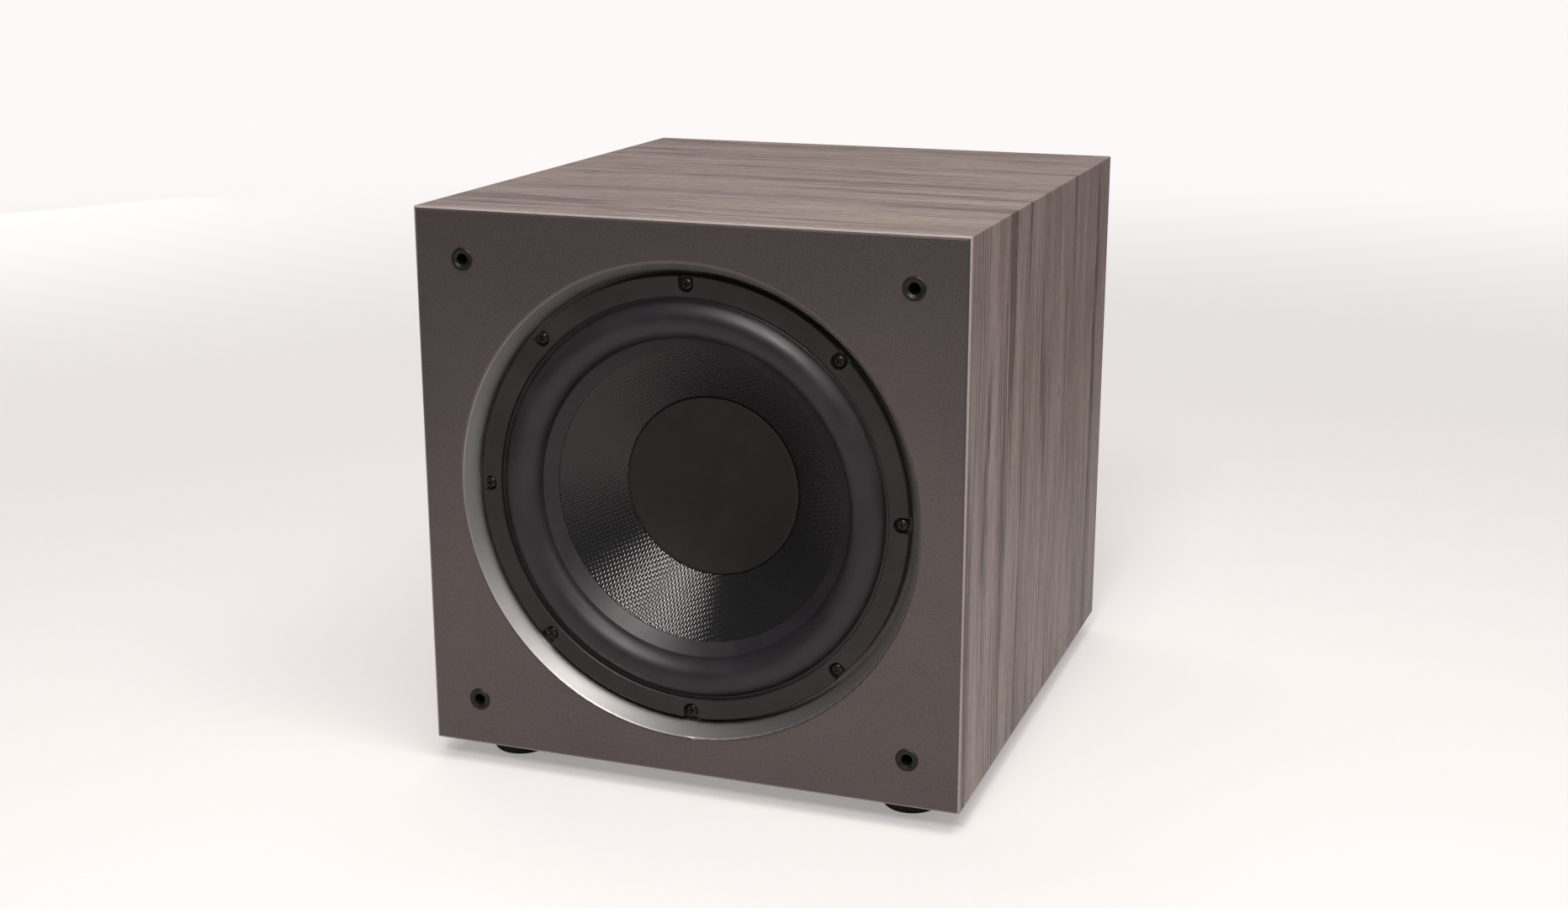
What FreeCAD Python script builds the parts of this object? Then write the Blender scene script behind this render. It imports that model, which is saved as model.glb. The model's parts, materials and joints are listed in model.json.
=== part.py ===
"""Powered subwoofer: a sealed box with a ten-inch driver and a rear amplifier plate.

Millimetres. +Z is up, the driver faces -Y, and +X is to the right seen from the front.
The origin is on the floor under the middle of the whole object.
"""
import FreeCAD, Part
import math
import os
from FreeCAD import Vector

# ---- cabinet
cabinet_width = 325.0
cabinet_height = 322.0
cabinet_depth = 358.0
wall = 18.0                    # side, top and bottom panels
baffle_thickness = 25.0
rear_thickness = 18.0
edge_chamfer = 2.0             # all round the front of the box
fold_radius = 0.8              # long edges, where the foil folds round the corner
brace_thickness = 16.0
brace_width = 30.0
brace_setback = 178.0          # from the front face to the brace
lining_thickness = 20.0
lining_margin = 6.0            # bare strip of wall round each slab

# ---- feet
foot_height = 14.0
foot_radius = 19.0
foot_taper = 2.5
foot_inset = 38.0              # centre from the cabinet's sides, front and back
foot_screw_radius = 2.0
foot_screw_length = 20.0
foot_recess_radius = 6.0
foot_web = 4.0                 # rubber between the screw's head and the cabinet

# ---- sockets for the grille's pegs
socket_side_inset = 30.25      # centre from the cabinet's sides
socket_top_inset = 28.75       # centre from its top and bottom
socket_collar_radius = 6.6
socket_collar_height = 0.8
socket_barrel_radius = 4.9
socket_hole_radius = 3.3
socket_hole_depth = 12.0
socket_floor = 1.5

# ---- driver frame and its recess
flange_radius = 129.0
flange_thickness = 2.0
recess_gap = 3.0               # dark gap round the flange
recess_flare = 5.9             # widening of the recess towards the front face
recess_flare_depth = 11.0
recess_edge_radius = 2.0
gasket_setback = 8.4           # front of the gasket ring behind the front face
gasket_thickness = 4.0
gasket_width = 11.7
seal_thickness = 1.6
basket_wall = 2.0
skirt_depth = 11.0
cutout_gap = 2.5               # baffle cut-out round the basket's skirt
window_count = 6
window_width = 54.0
shelf_drop = 13.0              # spider shelf behind the cone's neck
shelf_height = 20.0            # spider shelf in front of the top plate
shelf_width = 10.0

# ---- driver screws
screw_count = 8
screw_radius = 2.0
screw_edge = 4.35              # bolt circle inside the flange's rim
screw_head_radius = 3.7
screw_head_height = 3.2
screw_notch_gap = 0.8
tee_flange_radius = 7.5
tee_flange_thickness = 1.2
tee_barrel_radius = 2.9
tee_barrel_length = 7.5

# ---- surround, cone and cap
roll_gap = 1.8                 # groove between the gasket ring and the roll
roll_width = 22.2
roll_height = 9.5              # crest above the middle of its two feet
rubber_thickness = 1.4
lip_width = 7.3                # surround glued on the cone
cone_set_down = 4.0            # cone's rim behind the flange
cone_angle = 36.0              # degrees from the plane of the baffle
cone_thickness = 1.5
cap_radius = 52.8
cap_depth = 9.5
cap_thickness = 1.0
cap_rim = 1.2
cone_travel = 9.0

# ---- voice coil and motor
former_radius = 25.7
former_wall = 0.4
former_neck = 3.0              # former in front of the cone's neck
coil_length = 26.0
coil_thickness = 1.5
coil_gap = 0.8                 # winding to top plate
pole_gap = 0.6                 # former to pole
spider_thickness = 0.8
spider_wave = 1.4
spider_waves = 4
spider_collar = 4.0
top_plate_radius = 63.0
top_plate_thickness = 8.0
magnet_radius = 66.0
magnet_bore_radius = 33.0
magnet_height = 18.0
magnet_count = 2
back_plate_thickness = 8.0
pole_vent_radius = 10.0
rivet_count = 4
rivet_radius = 2.4

# ---- terminals on the basket
terminal_width = 28.0
terminal_reach = 22.0          # board outside the shelf
terminal_thickness = 2.0
tab_width = 6.3
tab_thickness = 0.8
tab_length = 9.0
tab_spacing = 14.0
tinsel_radius = 0.9
tinsel_reach = 13.0            # from the former to where the braid leaves the cone
lead_radius = 1.3
lead_sag = 10.0                # of the speaker lead between its ends
lead_entry = 15.0              # its place on the board, below the board's top edge

# ---- amplifier plate
plate_width = 190.0
plate_height = 240.0
plate_thickness = 2.5
plate_corner = 5.0
plate_border = 12.0            # plate round the cut-out in the rear panel
amp_seal_thickness = 1.5
amp_screw_radius = 1.7
amp_screw_length = 15.0
amp_screw_head_radius = 3.6
amp_screw_head_height = 2.2
amp_screw_inset = 6.0

# ---- amplifier board and what stands on it
board_margin = 8.0             # between the board and the cut-out's sides
board_height = 62.0
board_thickness = 1.6
standoff_height = 15.0
standoff_radius = 3.0
standoff_inset = 5.0
capacitor_radius = 15.0
capacitor_height = 40.0
capacitor_spacing = 62.0
spreader_margin = 13.0         # between the angle and the cut-out's sides
spreader_headroom = 5.8        # above it, inside the cut-out
spreader_thickness = 3.0
spreader_foot = 18.0
spreader_reach = 36.0
transistor_count = 4
transistor_width = 15.6
transistor_height = 20.0
transistor_thickness = 4.8

# ---- power transformer
toroid_radius = 46.0
toroid_bore_radius = 14.0
toroid_height = 42.0
toroid_edge = 8.0
toroid_gap = 3.0               # under the board
toroid_pad_thickness = 1.5
clamp_radius = 26.0
clamp_thickness = 1.6
clamp_bolt_radius = 3.0
clamp_nut_height = 5.0

# ---- rotary controls
control_rise = 14.0            # above the board's middle
volume_x = 52.0
crossover_x = 8.0
pot_radius = 8.5
pot_depth = 9.0
bushing_radius = 4.0
bushing_length = 6.0           # outside the plate's inner face
shaft_radius = 3.0
shaft_length = 12.0            # outside the plate
shaft_clearance = 0.05
nut_flats = 11.0
nut_height = 2.0
knob_radius = 9.0
knob_height = 13.0
knob_gap = 1.0
knob_skirt = 1.6
knob_groove_count = 18
pointer_width = 1.2

# ---- slide switches
switch_x = -48.0
switch_rises = (24.0, 4.0)     # above the board's middle
switch_travel = 4.0
switch_lever_width = 4.0
switch_lever_height = 4.4
switch_lever_reach = 2.6
switch_body_width = 19.0
switch_body_height = 9.5
switch_body_depth = 8.0
switch_wall = 1.6

# ---- phono jacks and status lamp
jack_rise = -20.0
jack_x = 52.0
jack_spacing = 24.0
jack_radius = 4.15
jack_bore_radius = 3.5
jack_length = 9.0
jack_collar_radius = 6.4
jack_collar_height = 1.4
jack_pin_radius = 1.6
jack_body_size = 13.0
jack_body_depth = 11.0
lamp_x = -48.0
lamp_radius = 1.5
lamp_collar_radius = 2.0

# ---- rocker switch
rocker_length = 18.6
rocker_width = 12.0
rocker_tilt = 10.0             # degrees each side of the middle
rocker_bezel = 2.4
rocker_bezel_height = 1.8
rocker_depth = 17.0
rocker_trunnion = 1.2
rocker_tag_rise = 5.0          # solder tags above and below the middle
rocker_tag_length = 7.0

# ---- mains inlet with fuse drawer
inlet_side_gap = 6.8           # beside the inlet's body, inside the cut-out
inlet_margin = 1.3             # under it
inlet_width = 24.4
inlet_opening = 16.6
inlet_depth = 16.0
inlet_wall = 2.0
inlet_floor = 3.0              # behind the socket
inlet_flange = 3.0
inlet_flange_height = 1.6
pin_spacing = 14.0
pin_rise = 5.0                 # earth pin above the other two
pin_width = 2.0
pin_height = 4.0
pin_length = 13.0
pin_tail = 7.0
drawer_width = 23.0
drawer_height = 7.4
drawer_depth = 19.0
mains_loop = 18.0              # reach of the mains lead behind its two ends
fuse_radius = 2.5
fuse_length = 20.0

# ---- fits
seat_gap = 0.3                 # pieces that lie beside each other without touching
thread_gap = 0.1               # round a screw in its hole
slide_gap = 0.35               # round a piece that slides or rocks

# ---- places that follow from the sizes
recess_radius = flange_radius + recess_gap
recess_mouth_radius = recess_radius + recess_flare
knob_top = knob_gap + knob_height
front = -(cabinet_depth + knob_top) / 2
back = front + cabinet_depth
bottom = foot_height
top = bottom + cabinet_height
middle = (bottom + top) / 2
side = cabinet_width / 2

gasket_front = front + gasket_setback
flange_front = gasket_front + gasket_thickness
flange_back = flange_front + flange_thickness
recess_floor = flange_back + seal_thickness
bolt_circle_radius = flange_radius - screw_edge
notch_radius = screw_head_radius + screw_notch_gap
gasket_inner_radius = flange_radius - gasket_width
roll_outer_radius = gasket_inner_radius - roll_gap
roll_inner_radius = roll_outer_radius - roll_width
land_radius = bolt_circle_radius - notch_radius - seat_gap
skirt_inner_radius = roll_outer_radius - 1.0
skirt_outer_radius = skirt_inner_radius + basket_wall
cutout_radius = skirt_outer_radius + cutout_gap

cone_rim = flange_front + cone_set_down
cone_slope = math.tan(math.radians(cone_angle))
cone_neck = cone_rim + (roll_inner_radius - former_radius) * cone_slope
shelf_front = cone_neck + shelf_drop
motor_front = shelf_front + shelf_height
magnet_front = motor_front + top_plate_thickness
magnet_back = magnet_front + magnet_count * magnet_height
shelf_back = shelf_front + basket_wall
shelf_inner_radius = top_plate_radius + 1.0
shelf_outer_radius = shelf_inner_radius + shelf_width
coil_radius = former_radius + coil_thickness
coil_front = motor_front + (top_plate_thickness - coil_length) / 2
coil_back = coil_front + coil_length
pole_radius = former_radius - former_wall - pole_gap

plate_outer = back
plate_inner = back - plate_thickness
rear_outer = plate_inner - amp_seal_thickness
rear_inner = rear_outer - rear_thickness
hole_width = plate_width - 2 * plate_border
hole_height = plate_height - 2 * plate_border
board_back = plate_inner - standoff_height
board_front = board_back - board_thickness
board_width = hole_width - 2 * board_margin
spreader_length = hole_width - 2 * spreader_margin
board_top = middle + hole_height / 2 - spreader_headroom - spreader_foot - 4 * seat_gap
board_middle = board_top - board_height / 2
control_height = board_middle + control_rise
switch_heights = [board_middle + rise for rise in switch_rises]
jack_height = board_middle + jack_rise
spreader_low = board_top + 4 * seat_gap
toroid_middle = board_middle - board_height / 2 - toroid_gap - toroid_radius

drawer_bottom = inlet_opening / 2 + inlet_wall + drawer_height
inlet_body_low = drawer_bottom + inlet_wall
inlet_body_top = inlet_opening / 2 + inlet_wall
inlet_height = middle + inlet_body_low + inlet_margin - hole_height / 2
inlet_x = hole_width / 2 - inlet_side_gap - inlet_width / 2 - inlet_wall
rocker_x = -inlet_x
rocker_height = inlet_height - (inlet_body_low - inlet_body_top) / 2


# ---- helpers
def outline(points, lift):
    """Closed wire; lift turns (u, v) into a place. A step of two points is an arc through the first."""
    edges = []
    last = lift(*points[0])
    for step in points[1:] + points[:1]:
        if isinstance(step[0], tuple):
            end = lift(*step[1])
            edges.append(Part.Arc(last, lift(*step[0]), end).toShape())
        else:
            end = lift(*step)
            if (end - last).Length > 1e-6:
                edges.append(Part.LineSegment(last, end).toShape())
        last = end
    return Part.Wire(edges)


def upright(solid):
    """The same solid, facing outwards."""
    if solid.Volume < 0:
        solid.reverse()
    return solid


def turned(points, x=0.0, z=None):
    """Body of revolution about a line along Y; points are (radius, y)."""
    face = Part.Face(outline(points, lambda r, y: Vector(r, y, 0)))
    solid = upright(face.revolve(Vector(0, 0, 0), Vector(0, 1, 0), 360))
    solid.translate(Vector(x, 0, middle if z is None else z))
    return solid


def spun(points, x, y):
    """Body of revolution about a vertical line; points are (radius, z)."""
    face = Part.Face(outline(points, lambda r, z: Vector(r, 0, z)))
    solid = upright(face.revolve(Vector(0, 0, 0), Vector(0, 0, 1), 360))
    solid.translate(Vector(x, y, 0))
    return solid


def sheet(points, y0, y1):
    """Outline in X and Z, thickness along Y."""
    face = Part.Face(outline(points, lambda x, z: Vector(x, y0, z)))
    return upright(face.extrude(Vector(0, y1 - y0, 0)))


def bar(points, x0, x1):
    """Outline in Y and Z, length along X."""
    face = Part.Face(outline(points, lambda y, z: Vector(x0, y, z)))
    return upright(face.extrude(Vector(x1 - x0, 0, 0)))


def block(x0, x1, y0, y1, z0, z1):
    return Part.makeBox(x1 - x0, y1 - y0, z1 - z0, Vector(x0, y0, z0))


def centred(x, z, width, height, y0, y1):
    """Block with its middle at (x, z)."""
    return block(x - width / 2, x + width / 2, y0, y1, z - height / 2, z + height / 2)


def rod(radius, x, z, y0, y1):
    return Part.makeCylinder(radius, y1 - y0, Vector(x, y0, z), Vector(0, 1, 0))


def ring(outer, inner, x, z, y0, y1):
    return rod(outer, x, z, y0, y1).cut(rod(inner, x, z, y0, y1))


def rounded(width, height, radius, x=0.0, z=0.0):
    """Rectangle with round corners, as points for an outline."""
    points = []
    for turn, (sx, sz) in enumerate(((1, 1), (-1, 1), (-1, -1), (1, -1))):
        cx = x + sx * (width / 2 - radius)
        cz = z + sz * (height / 2 - radius)
        arc = []
        for share in (0.0, 0.5, 1.0):
            angle = (turn + share) * math.pi / 2
            arc.append((cx + radius * math.cos(angle), cz + radius * math.sin(angle)))
        points += [arc[0], (arc[1], arc[2])]
    return points


def eased(before, corner, after, radius):
    """Steps that round a corner of an outline: the arc's start, then the arc itself."""
    def unit(end):
        span = math.hypot(end[0] - corner[0], end[1] - corner[1])
        return (end[0] - corner[0]) / span, (end[1] - corner[1]) / span
    a = unit(before)
    b = unit(after)
    half_turn = (math.pi - math.acos(a[0] * b[0] + a[1] * b[1])) / 2
    cut = radius * math.tan(half_turn)
    rise = radius * (1 / math.cos(half_turn) - 1)
    span = math.hypot(a[0] + b[0], a[1] + b[1])
    start = (corner[0] + cut * a[0], corner[1] + cut * a[1])
    through = (corner[0] + rise * (a[0] + b[0]) / span, corner[1] + rise * (a[1] + b[1]) / span)
    return [start, (through, (corner[0] + cut * b[0], corner[1] + cut * b[1]))]


def hexagon(flats, x, z):
    corner = flats / math.sqrt(3)
    return [(x + corner * math.cos(math.pi * i / 3), z + corner * math.sin(math.pi * i / 3))
            for i in range(6)]


def around(shape, count, first=0.0):
    """Copies spaced round the driver's axis; the first angle is from +X towards +Z."""
    copies = []
    for i in range(count):
        copy = shape.copy()
        copy.rotate(Vector(0, 0, middle), Vector(0, -1, 0), first + 360.0 * i / count)
        copies.append(copy)
    return copies


def corners(x, y):
    """The four places at plus and minus x and y."""
    return [(sx * x, sy * y) for sx in (-1, 1) for sy in (-1, 1)]


def tube(points, radius, label):
    """Round lead along straight runs joined by tangent arcs as large as the runs allow."""
    places = [Vector(*p) for p in points]
    edges = []
    radii = []
    length = 0.0
    last = places[0]
    for before, here, after in zip(places, places[1:], places[2:]):
        into = (here - before).normalize()
        out = (after - here).normalize()
        half_turn = math.acos(max(-1.0, min(1.0, into.dot(out)))) / 2
        cut = 0.45 * min((here - before).Length, (after - here).Length)
        bend = cut / math.tan(half_turn)
        start = here - into * cut
        end = here + out * cut
        inward = (out - into).normalize()
        through = here + inward * (bend / math.cos(half_turn) - bend)
        edges.append(Part.LineSegment(last, start).toShape())
        edges.append(Part.Arc(start, through, end).toShape())
        length += (start - last).Length + bend * 2 * half_turn
        radii.append(round(bend, 1))
        last = end
    edges.append(Part.LineSegment(last, places[-1]).toShape())
    length += (places[-1] - last).Length
    path = Part.Wire(edges)
    mouth = Part.Wire(Part.makeCircle(radius, places[0], places[1] - places[0]))
    solid = upright(path.makePipeShell([mouth], True, False))
    expected = math.pi * radius ** 2 * length
    print(label, "bend radii", radii, "volume ratio", round(solid.Volume / expected, 4))
    return solid


def save(name, shapes):
    """One STEP file for a node, holding one solid or several separate ones."""
    shape = shapes if isinstance(shapes, Part.Shape) else Part.makeCompound(shapes)
    shape.exportStep("parts/" + name + ".step")
    print(name, len(shape.Solids), round(sum(s.Volume for s in shape.Solids)), shape.isValid())


# ---- cabinet
def chamfered(low, high):
    """Outline of the box seen along one wall: square at the back, chamfered at the front."""
    return [(front, low + edge_chamfer), (front + edge_chamfer, low), (back, low), (back, high),
            (front + edge_chamfer, high), (front, high - edge_chamfer)]


def envelope():
    """Outside of the box: chamfered round the front, foil folds slightly round along the sides."""
    box = sheet(rounded(cabinet_width, cabinet_height, fold_radius, 0.0, middle), front, back)
    plan = Part.Face(outline(chamfered(-side, side), lambda y, x: Vector(x, y, bottom)))
    return box.common(bar(chamfered(bottom, top), -side, side)).common(
        upright(plan.extrude(Vector(0, 0, cabinet_height))))


def mitred(outer, inner):
    """Panel between an outer and an inner rectangle, each given as four corners."""
    faces = [Part.Face(Part.makePolygon([Vector(*p) for p in ring_ + ring_[:1]])) for ring_ in (outer, inner)]
    for i in range(4):
        j = (i + 1) % 4
        loop = [outer[i], outer[j], inner[j], inner[i], outer[i]]
        faces.append(Part.Face(Part.makePolygon([Vector(*p) for p in loop])))
    return upright(Part.Solid(Part.Shell(faces)))


def wall_panel(nx, nz):
    """Side (nx) or top and bottom (nz) panel, mitred on three edges and square at the back."""
    def corner(y, across, inset):
        if nx:
            return (nx * (side - inset), y, middle + across * (cabinet_height / 2 - inset))
        return (across * (side - inset), y, middle + nz * (cabinet_height / 2 - inset))
    outer = [corner(front, -1, 0), corner(front, 1, 0), corner(back, 1, 0), corner(back, -1, 0)]
    inner = [corner(front + wall, -1, wall), corner(front + wall, 1, wall),
             corner(back, 1, wall), corner(back, -1, wall)]
    return mitred(outer, inner).common(envelope())


def socket_places():
    x_reach = side - socket_side_inset
    z_reach = cabinet_height / 2 - socket_top_inset
    return [(x, middle + z) for x, z in corners(x_reach, z_reach)]


def foot_centres():
    """Centres of the four feet in X and Y."""
    xs = (-(side - foot_inset), side - foot_inset)
    ys = (front + foot_inset, back - foot_inset)
    return [(x, y) for x in xs for y in ys]


def front_baffle():
    rim = [(-side, front, bottom), (side, front, bottom), (side, front, top), (-side, front, top)]
    inside = [(x - math.copysign(wall, x), front + wall, z + (wall if z == bottom else -wall))
              for x, _, z in rim]
    face = mitred(rim, inside)
    core = block(-side + wall, side - wall, front + wall, front + baffle_thickness, bottom + wall, top - wall)
    shape = face.fuse(core).removeSplitter().common(envelope())
    mouth = (recess_mouth_radius, front)
    throat = (recess_radius, front + recess_flare_depth)
    edge = eased((side, front), mouth, throat, recess_edge_radius)
    beyond = front + baffle_thickness + 1.0
    recess = turned([(0, front - 1.0), (edge[0][0], front - 1.0)] + edge +
                    [throat, (recess_radius, recess_floor), (cutout_radius, recess_floor),
                     (cutout_radius, beyond), (0, beyond)])
    shape = shape.cut(recess)
    tee = rod(tee_barrel_radius + thread_gap, bolt_circle_radius, middle, recess_floor - 1.0,
              front + baffle_thickness + 1.0)
    for hole in around(tee, screw_count):
        shape = shape.cut(hole)
    depth = socket_hole_depth + socket_floor + seat_gap
    for x, z in socket_places():
        shape = shape.cut(rod(socket_barrel_radius + thread_gap, x, z, front - 1.0, front + depth))
    return shape


def rear_panel():
    shape = block(-side + wall, side - wall, rear_inner, rear_outer, bottom + wall, top - wall)
    hole = sheet(rounded(hole_width, hole_height, plate_corner, 0.0, middle), rear_inner - 1, rear_outer + 1)
    shape = shape.cut(hole)
    for x, z in amp_screw_places():
        depth = amp_screw_length - plate_thickness - amp_seal_thickness + seat_gap
        shape = shape.cut(rod(amp_screw_radius + thread_gap, x, z, rear_outer - depth, rear_outer + 1))
    return shape


def bottom_panel():
    shape = wall_panel(0, -1)
    depth = foot_screw_length - foot_web + seat_gap
    for x, y in foot_centres():
        shape = shape.cut(Part.makeCylinder(foot_screw_radius + thread_gap, depth, Vector(x, y, bottom)))
    return shape


def window_brace():
    y0 = front + brace_setback
    shape = block(-side + wall, side - wall, y0, y0 + brace_thickness, bottom + wall, top - wall)
    width = cabinet_width - 2 * (wall + brace_width)
    height = cabinet_height - 2 * (wall + brace_width)
    window = sheet(rounded(width, height, brace_width, 0.0, middle), y0 - 1, y0 + brace_thickness + 1)
    return shape.cut(window)


def acoustic_lining():
    """Wadding on the four walls, in the bays before and behind the brace."""
    slabs = []
    brace_front = front + brace_setback
    bays = ((front + baffle_thickness + lining_margin + tee_flange_thickness, brace_front - lining_margin),
            (brace_front + brace_thickness + lining_margin, rear_inner - lining_margin))
    x = side - wall - seat_gap
    z = cabinet_height / 2 - wall - seat_gap
    for y0, y1 in bays:
        for s in (-1, 1):
            xs = sorted((s * x, s * (x - lining_thickness)))
            slabs.append(block(*xs, y0, y1, middle - z + lining_margin, middle + z - lining_margin))
            zs = sorted((middle + s * z, middle + s * (z - lining_thickness)))
            reach = x - lining_thickness - lining_margin
            slabs.append(block(-reach, reach, y0, y1, *zs))
    return slabs


def grille_sockets():
    """Moulded cups with a collar on the face of the baffle, dished towards the hole."""
    end = front + socket_hole_depth
    profile = [(socket_hole_radius, end), (socket_hole_radius, front),
               (socket_collar_radius - 1.6, front - socket_collar_height),
               (socket_collar_radius - 0.5, front - socket_collar_height),
               (socket_collar_radius, front - 0.2), (socket_collar_radius, front),
               (socket_barrel_radius, front), (socket_barrel_radius, end + socket_floor),
               (0, end + socket_floor), (0, end)]
    return [turned(profile, x, z) for x, z in socket_places()]


def feet():
    """Squat rubber pads, recessed underneath for their screws."""
    low = foot_radius - foot_taper
    web = foot_height - foot_web
    profile = [(foot_recess_radius, 0), (low - 1.0, 0), (low, 1.0), (foot_radius, foot_height - 1.0),
               (foot_radius - 1.0, foot_height), (foot_screw_radius + thread_gap, foot_height),
               (foot_screw_radius + thread_gap, web), (foot_recess_radius, web)]
    return [spun(profile, x, y) for x, y in foot_centres()]


def foot_screws():
    web = foot_height - foot_web
    head = foot_recess_radius - 1.0
    profile = [(0, web - 2.4), (head - 1.2, web - 2.4), (head, web - 0.8), (head, web),
               (foot_screw_radius, web), (foot_screw_radius, web + foot_screw_length - 3.0),
               (0.2, web + foot_screw_length), (0, web + foot_screw_length)]
    return [spun(profile, x, y) for x, y in foot_centres()]


# ---- driver
def driver_basket():
    """Pressed frame: flange, skirt, six legs, spider shelf and the cup that meets the top plate."""
    skirt_back = flange_front + skirt_depth
    slant = basket_wall * 1.2
    profile = [(flange_radius, flange_front), (flange_radius, flange_back),
               (skirt_outer_radius, flange_back), (skirt_outer_radius, skirt_back),
               (shelf_outer_radius + basket_wall, shelf_front),
               (shelf_outer_radius + basket_wall, shelf_back), (shelf_inner_radius + basket_wall, shelf_back),
               (shelf_inner_radius + basket_wall, motor_front), (magnet_bore_radius + 12, motor_front),
               (magnet_bore_radius + 12, motor_front - basket_wall),
               (shelf_inner_radius, motor_front - basket_wall), (shelf_inner_radius, shelf_front),
               (shelf_outer_radius + basket_wall - slant, shelf_front),
               (skirt_inner_radius, skirt_back - basket_wall / 3), (skirt_inner_radius, flange_front)]
    shape = turned(profile)
    window = sheet(rounded(window_width, skirt_outer_radius, 8.0, 0.0, middle + skirt_outer_radius),
                   skirt_back + 6.0, shelf_front - 7.0)
    vent = centred(0, middle + shelf_inner_radius, window_width * 0.4, shelf_width * 2,
                   shelf_back + 3.0, motor_front - basket_wall - 3.0)
    for cutter in around(window, window_count) + around(vent, window_count, 180.0 / window_count):
        shape = shape.cut(cutter)
    screw = rod(screw_radius + thread_gap * 4, bolt_circle_radius, middle, flange_front - 1, flange_back + 1)
    rivet = rod(rivet_radius, rivet_circle(), middle, motor_front - basket_wall - 1, motor_front + 1)
    for cutter in around(screw, screw_count) + around(rivet, rivet_count, 45.0):
        shape = shape.cut(cutter)
    return shape


def rivet_circle():
    return (magnet_bore_radius + 12 + shelf_inner_radius) / 2


def driver_seal():
    shape = ring(flange_radius - 1.0, cutout_radius + 0.5, 0, middle, flange_back, recess_floor)
    for hole in around(rod(tee_barrel_radius, bolt_circle_radius, middle, flange_back - 1, recess_floor + 1),
                       screw_count):
        shape = shape.cut(hole)
    return shape


def gasket_ring():
    """Rubber ring on the flange, stepped over the surround's edge, with a notch for each screw."""
    land_front = flange_front - rubber_thickness
    step = land_radius + seat_gap / 2
    ease = 0.6
    profile = [(gasket_inner_radius, land_front), (gasket_inner_radius, gasket_front + ease),
               (gasket_inner_radius + ease, gasket_front), (flange_radius - ease, gasket_front),
               (flange_radius, gasket_front + ease), (flange_radius, flange_front),
               (step, flange_front), (step, land_front)]
    shape = turned(profile)
    notch = rod(notch_radius, bolt_circle_radius, middle, gasket_front - 1, flange_front + 1)
    mouth = block(bolt_circle_radius, flange_radius + 1, gasket_front - 1, flange_front + 1,
                  middle - notch_radius, middle + notch_radius)
    for cutter in around(notch.fuse(mouth), screw_count):
        shape = shape.cut(cutter)
    return shape


def driver_screws():
    """Pan heads with a cross recess, shanks into the tee nuts."""
    head_front = flange_front - screw_head_height
    end = front + baffle_thickness + 2.0
    profile = [(0, head_front), (screw_head_radius * 0.55, head_front),
               ((screw_head_radius * 0.9, head_front + 0.8), (screw_head_radius, head_front + 1.8)),
               (screw_head_radius, flange_front), (screw_radius, flange_front), (screw_radius, end), (0, end)]
    screw = turned(profile, bolt_circle_radius)
    for width, height in ((0.9, 4.0), (4.0, 0.9)):
        screw = screw.cut(centred(bolt_circle_radius, middle, width, height, head_front - 1, head_front + 1.6))
    return around(screw, screw_count)


def driver_tee_nuts():
    face = front + baffle_thickness
    profile = [(screw_radius + thread_gap, face + tee_flange_thickness),
               (screw_radius + thread_gap, face - tee_barrel_length),
               (tee_barrel_radius, face - tee_barrel_length), (tee_barrel_radius, face),
               (tee_flange_radius, face), (tee_flange_radius, face + tee_flange_thickness)]
    return around(turned(profile, bolt_circle_radius), screw_count)


def cone_face(radius):
    """Place along Y of the cone's front surface."""
    return cone_rim + (roll_inner_radius - radius) * cone_slope


def surround():
    """Rubber half-roll: an outer edge on the flange, the roll, and a lip on the cone."""
    crest_radius = (roll_outer_radius + roll_inner_radius) / 2
    crest = (flange_front + cone_rim) / 2 - roll_height
    lip_end = roll_inner_radius - lip_width
    lip_back = cone_face(lip_end) - seat_gap
    rim_back = cone_rim - seat_gap
    profile = [(land_radius, flange_front), (land_radius, flange_front - rubber_thickness),
               (roll_outer_radius, flange_front - rubber_thickness),
               ((crest_radius, crest), (roll_inner_radius, rim_back - rubber_thickness)),
               (lip_end, lip_back - rubber_thickness * 0.6), (lip_end, lip_back), (roll_inner_radius, rim_back),
               ((crest_radius, crest + rubber_thickness), (roll_outer_radius, flange_front))]
    return turned(profile)


def cone():
    rim = roll_inner_radius
    return turned([(rim, cone_rim), (former_radius, cone_neck), (former_radius, cone_neck + cone_thickness),
                   (rim, cone_rim + cone_thickness)])


def dish(radius):
    """Depth of the concave cap's surface behind its edge."""
    ball = (cap_radius ** 2 + cap_depth ** 2) / (2 * cap_depth)
    return cap_depth - ball + math.sqrt(ball ** 2 - radius ** 2)


def dust_cap():
    edge = cone_face(cap_radius) - cap_rim
    half = cap_radius / 2
    under = edge + cap_thickness
    return turned([(cap_radius, edge + cap_rim), (cap_radius, edge),
                   ((half, edge + dish(half)), (0, edge + cap_depth)), (0, under + cap_depth),
                   ((half, under + dish(half)), (cap_radius - 1.0, under + dish(cap_radius - 1.0)))])


def voice_coil_former():
    start = cone_neck - former_neck
    return ring(former_radius, former_radius - former_wall, 0, middle, start, coil_back + 1.5)


def voice_coil():
    return ring(coil_radius, former_radius, 0, middle, coil_front, coil_back)


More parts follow.
